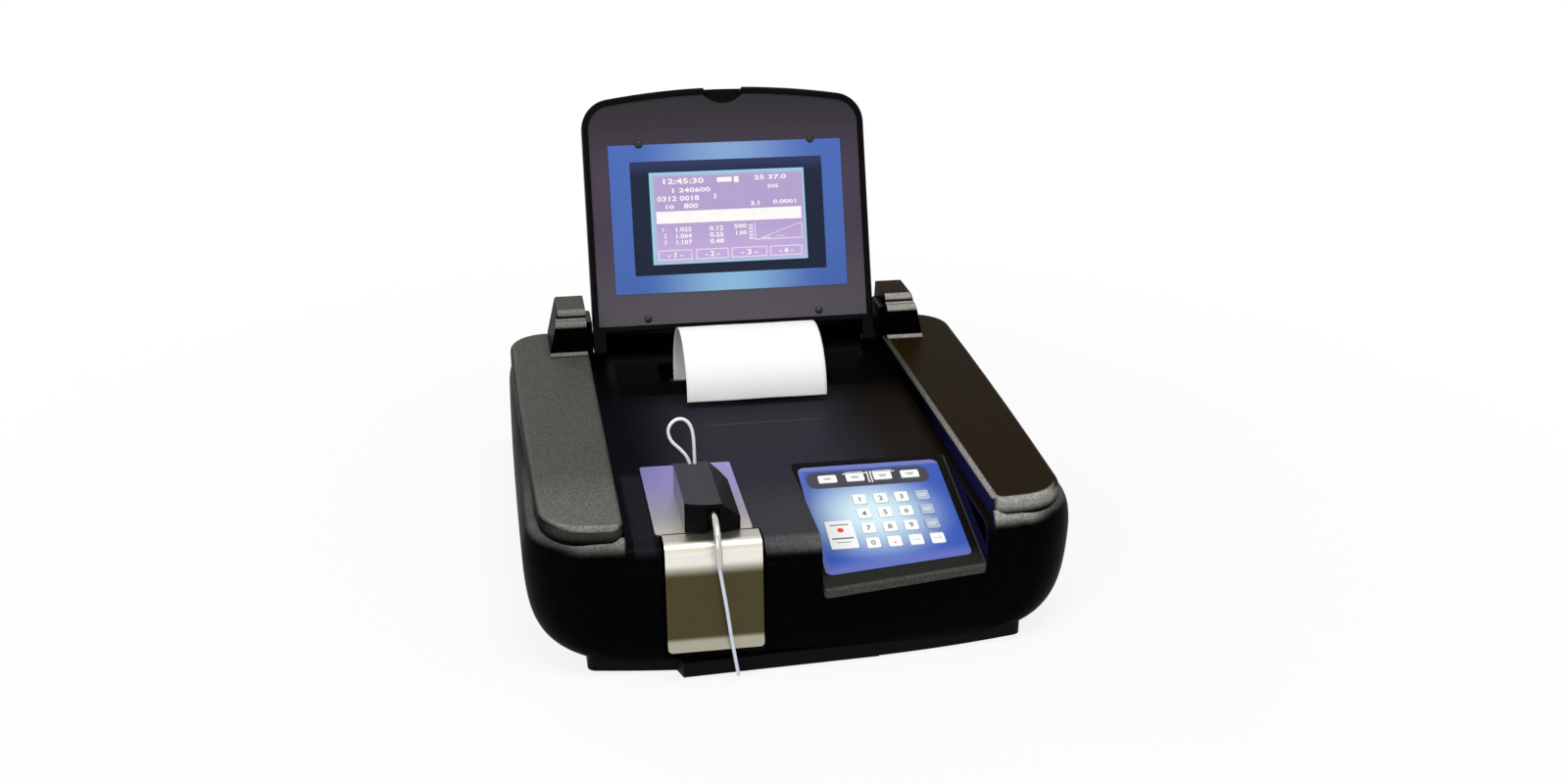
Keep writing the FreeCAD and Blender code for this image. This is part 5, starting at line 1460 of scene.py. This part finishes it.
@dataclass
class ScreenPicture:
    """Plain numbers, a white band, two blocks, a small graph and four soft-key boxes on the screen.

    Places are shares of the screen: left, right, top and bottom, from its upper left corner.
    """

    half_width: float = 65.3
    foot: float = 54.6
    top: float = 131.0
    body: str = "display_lid"
    line_width: float = 0.55
    line_ends: tuple[Span, Span] = ((0.70, 0.755), (0.965, 0.60))
    glass: PrintedFace = PrintedFace(LID, -0.7, 0.05, "screen_glass", weight=0.022)
    band: Box = (0.035, 0.972, 0.425, 0.556)
    blocks: tuple[Box, ...] = ((0.435, 0.53, 0.075, 0.125), (0.545, 0.575, 0.07, 0.135))
    axes: tuple[Box, ...] = (
        (0.662, 0.668, 0.585, 0.77), (0.655, 0.972, 0.762, 0.772), (0.967, 0.972, 0.60, 0.77),
        (0.70, 0.76, 0.745, 0.757), (0.80, 0.86, 0.735, 0.742))
    scale_x: Span = (0.625, 0.652)
    scale_tops: tuple[float, ...] = (0.60, 0.635, 0.67, 0.705, 0.74)
    scale_height: float = 0.022
    soft_keys: tuple[Span, ...] = ((0.035, 0.25), (0.275, 0.485), (0.505, 0.735), (0.755, 0.965))
    soft_key_rows: Box = (0.845, 0.855, 0.945, 0.955)
    soft_key_line: float = 0.006
    soft_key_inset: float = 0.06
    soft_key_digits: Span = (0.87, 0.93)
    numbers: tuple[tuple[str, float, float, float, float], ...] = (
        ("12:45:30", 0.09, 0.35, 0.07, 0.13), ("25 37.0", 0.675, 0.885, 0.065, 0.115),
        ("1 240600", 0.145, 0.39, 0.175, 0.225), ("505", 0.76, 0.83, 0.17, 0.21),
        ("0312 0018", 0.045, 0.315, 0.26, 0.315), ("5", 0.408, 0.428, 0.25, 0.305),
        ("10", 0.10, 0.15, 0.355, 0.40), ("800", 0.215, 0.305, 0.345, 0.40),
        ("3.1", 0.645, 0.70, 0.345, 0.395), ("0.0001", 0.79, 0.94, 0.34, 0.385),
        ("1", 0.06, 0.085, 0.60, 0.645), ("1.025", 0.155, 0.255, 0.60, 0.65),
        ("0.12", 0.37, 0.46, 0.60, 0.65), ("500", 0.53, 0.61, 0.59, 0.635),
        ("2", 0.075, 0.095, 0.67, 0.715), ("1.064", 0.155, 0.255, 0.67, 0.72),
        ("0.25", 0.37, 0.46, 0.67, 0.72), ("1.00", 0.54, 0.61, 0.665, 0.71),
        ("3", 0.075, 0.095, 0.74, 0.785), ("1.107", 0.155, 0.255, 0.74, 0.79),
        ("0.48", 0.37, 0.46, 0.74, 0.79))

    def across(self, share: float) -> float:
        """Distance from the middle of a share of the screen's width, from its left side."""
        return (2 * share - 1) * self.half_width

    def down(self, share: float) -> float:
        """Distance up the lid of a share of the screen's height, from its top."""
        return self.top - share * (self.top - self.foot)

    def put_bars(self, name: str, shares: Boxes, finish: str) -> None:
        """Prints thin raised bars in a finish, each a share of the screen."""
        boxes = [(self.across(a), self.across(b), self.down(d), self.down(c)) for a, b, c, d in shares]
        self.glass.bars(name, boxes, finish, self.body)

    def put_numbers(self, name: str, rows: tuple[tuple[str, float, float, float, float], ...]) -> None:
        """Prints rows of digits; those of two signs or more fill their width."""
        lines = [Words(text, self.across((a + b) / 2), self.down(d), self.down(c) - self.down(d),
                       self.across(b) - self.across(a) if len(text) > 1 else None)
                 for text, a, b, c, d in rows]
        self.glass.words(name, lines, "lit_white", self.body)

    def put_graph(self) -> None:
        """Axes with a scale, and a rising line as a thin parallelogram prism."""
        scale = [(*self.scale_x, top, top + self.scale_height) for top in self.scale_tops]
        self.put_bars("screen_axes", [*self.axes, *scale], "lit_pale")
        ends = np.array([[self.across(a), self.down(b)] for a, b in self.line_ends])
        way = ends[1] - ends[0]
        side = np.array([-way[1], way[0]]) / np.linalg.norm(way) * self.line_width / 2
        ring = np.array([ends[0] - side, ends[1] - side, ends[1] + side, ends[0] + side])
        heights = (self.glass.face - self.glass.sink, self.glass.face + self.glass.ink)
        points = np.concatenate([LID.at(ring[:, 0], ring[:, 1], height) for height in heights])
        faces = [[0, 1, 2, 3], [4, 5, 6, 7], [0, 1, 5, 4], [1, 2, 6, 5], [2, 3, 7, 6], [3, 0, 4, 7]]
        put_piece("screen_line", points, faces, "lit_pale", self.body, smooth=False)

    def put_soft_keys(self) -> None:
        """Four outlined boxes along the foot, with digits in them."""
        top, under_top, over_foot, foot = self.soft_key_rows
        line, bars, rows = self.soft_key_line, [], []
        for number, (left, right) in enumerate(self.soft_keys, 1):
            bars += [(left, right, top, under_top), (left, right, over_foot, foot),
                     (left, left + line, top, foot), (right - line, right, top, foot)]
            rows.append((f"- {number} -", left + self.soft_key_inset, right - self.soft_key_inset,
                         *self.soft_key_digits))
        self.put_bars("screen_boxes", bars, "lit_pale")
        self.put_numbers("screen_box_numbers", tuple(rows))

    def make(self) -> None:
        """Lays out the whole picture."""
        self.put_bars("screen_band", [self.band], "lit_white")
        self.put_bars("screen_blocks", self.blocks, "lit_white")
        self.put_numbers("screen_numbers", self.numbers)
        self.put_graph()
        self.put_soft_keys()


@dataclass
class BezelScrews:
    """Four small black button heads with a cross recess, in mm and radians."""

    places: tuple[Span, ...] = ((-72.2, 10.5), (72.2, 10.5), (-72.2, 154.9), (72.2, 154.9))
    radius: float = 3.2
    height: float = 1.9
    flatness: float = 2.4
    roundness: float = 0.6
    sunk: float = 0.05
    hole: float = 0.02
    recess: float = 1.0
    slot_half: float = 0.42
    slot_reach: float = 1.7
    rings: int = 22
    spokes: int = 72
    first_turn: float = 0.4
    next_turn: float = 0.7

    def head(self) -> tuple[np.ndarray, np.ndarray]:
        """One head on a polar grid.

        Height is h (1 - (r / R)^flatness)^roundness, less recess where |x| or |y| < slot_half within
        slot_reach; the last ring drops below the seat and the base closes at the middle.

        Returns:
            Points in mm and faces.
        """
        share = np.linspace(self.hole, 1.0, self.rings)[:, None]
        a = np.linspace(0, 2 * np.pi, self.spokes, endpoint=False)[None]
        x, y = share * self.radius * np.cos(a), share * self.radius * np.sin(a)
        dome = self.height * np.clip(1 - share ** self.flatness, 0, 1) ** self.roundness * np.ones_like(a)
        cross = (np.minimum(np.abs(x), np.abs(y)) < self.slot_half) & (np.hypot(x, y) < self.slot_reach)
        top = np.stack([x, y, np.where(cross, dome - self.recess, dome)], -1)
        base = top[[-1, 0]]
        base[..., 2] = -self.sunk
        grid = np.concatenate([top, base])
        faces = np.concatenate([grid_faces(len(grid), self.spokes), fold_faces(0, self.spokes),
                                fold_faces(len(grid) - 1, self.spokes)])
        return grid.reshape(-1, 3), faces

    def make(self) -> None:
        """Puts a head at each place and hides the plain solids."""
        head, faces = self.head()
        points, all_faces = [], []
        for number, (across, up) in enumerate(self.places):
            turn = self.first_turn + self.next_turn * number
            c, s = math.cos(turn), math.sin(turn)
            x, y, z = head.T
            points.append(LID.at(across + c * x - s * y, up + s * x + c * y, z))
            all_faces.append(faces + number * len(head))
        piece = put_piece("bezel_screw_heads", np.concatenate(points), np.concatenate(all_faces),
                          "screw_black", "display_lid")
        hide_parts("bezel_screws")


@dataclass
class KeyPrints:
    """Digits and plain marks on the keys, each riding on its own key, and a bracket on the film, in mm.

    Marks hold a finish, the keys that carry them, and x0, x1, v0 and v1 of each bar from a key's middle.
    """

    key: PrintedFace = PrintedFace(TRAY, -0.1, 0.04, "key_white", weight=0.015)
    film: PrintedFace = PrintedFace(TRAY, -0.7, 0.05, "keypad_film")
    digits: str = "1234567890"
    digit_height: float = 4.8
    marks: tuple[tuple[str, tuple[str, ...], tuple[Box, ...]], ...] = (
        ("ink_red", ("key_point",), ((-0.7, 0.7, -2.2, -0.8),)),
        ("ink_pale", ("key_clear",), ((-2.6, 2.6, -0.3, 0.3),)),
        ("ink_pale", ("key_enter",), ((-2.4, 2.4, -0.35, 0.35), (1.8, 2.4, 0.35, 1.8))),
        ("ink_white", ("side_key_1", "side_key_2", "side_key_3"),
         ((-3.2, 3.2, 0.5, 1.3), (-3.2, 2.0, -1.3, -0.6))),
        ("ink_grey", ("menu_key_1", "menu_key_2", "menu_key_3", "menu_key_4"),
         ((-3.0, 3.0, 0.5, 1.1), (-2.2, 2.2, -0.9, -0.3))),
        ("ink_grey", ("start_key",),
         ((-6.5, 6.5, 9.6, 10.6), (-7.5, 7.5, -4.6, -3.2), (-5.0, 5.0, -8.2, -7.6))))
    spot_key: str = "start_key"
    spot_lift: float = 4.6
    spot_radius: float = 2.3
    spot_spokes: int = 40
    spot_slope: tuple[Span, ...] = ((0.9, 1.0), (1.0, 0.4))
    bracket: tuple[Box, ...] = (
        (40.0, 57.5, -15.2, -14.2), (60.5, 78.0, -15.2, -14.2), (57.4, 58.4, -25.5, -13.2),
        (59.6, 60.6, -25.5, -13.2), (42.0, 55.0, -13.6, -12.9), (62.0, 76.0, -13.6, -12.9))

    def middle(self, node: str) -> Span:
        """Middle of a key in mm across and up the tray."""
        low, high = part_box(node)
        return TRAY.reading((low + high) / 2)

    def put_digit(self, digit: str) -> None:
        """Prints a digit in the middle of its key.

        Args:
            digit: the digit, which the key's node is named after.
        """
        across, up = self.middle("key_" + digit)
        line = Words(digit, across, up - self.digit_height / 2, self.digit_height)
        self.key.words(f"print_key_{digit}", [line], "ink_grey", f"key_{digit}_cap")

    def put_marks(self, node: str, boxes: Boxes, finish: str) -> None:
        """Prints short bars about the middle of a key.

        Args:
            node: the key.
            boxes: x0, x1, v0 and v1 of each bar, from the key's middle.
            finish: name of the finish.
        """
        across, up = self.middle(node)
        moved = np.array(boxes) + np.array([across, across, up, up])
        self.key.bars("print_" + node, moved, finish, node + "_cap")

    def put_spot(self) -> None:
        """Prints a round red spot on its key: rings r (cos a, sin a), each at a height of its own."""
        across, up = self.middle(self.spot_key)
        face, ink, radius, spokes = self.key.face, self.key.ink, self.spot_radius, self.spot_spokes
        a = np.linspace(0, 2 * np.pi, spokes, endpoint=False)
        rings = [(share * radius, face + height * ink) for share, height in self.spot_slope]
        rings.append((radius, face - self.key.sink))
        points = np.concatenate([TRAY.at(across + r * np.cos(a), up + self.spot_lift + r * np.sin(a), height)
                                 for r, height in rings])
        ends = [list(range(spokes)), list(range(3 * spokes - 1, 2 * spokes - 1, -1))]
        faces = [*grid_faces(len(rings), spokes), *ends]
        put_piece("print_start_spot", points, faces, "ink_red", self.spot_key + "_cap")

    def make(self) -> None:
        """Prints every key, and the bracket over, between and beside the two middle menu keys."""
        for digit in self.digits:
            self.put_digit(digit)
        for finish, nodes, boxes in self.marks:
            for node in nodes:
                self.put_marks(node, boxes, finish)
        self.put_spot()
        self.film.bars("film_bracket", self.bracket, "ink_white", "base_unit")


def main() -> None:
    logging.basicConfig(level=logging.INFO, format="%(name)s: %(message)s")
    PhotoCamera().make()
    for tube in (SIPPER, LOOP):
        tube.make()
    Studio().make()
    FINISHER.dress_solids()
    for group in (TriggerSpring(), PaperStrip(), ScreenPicture(), BezelScrews(), KeyPrints()):
        group.make()


if __name__ == "__main__":
    main()
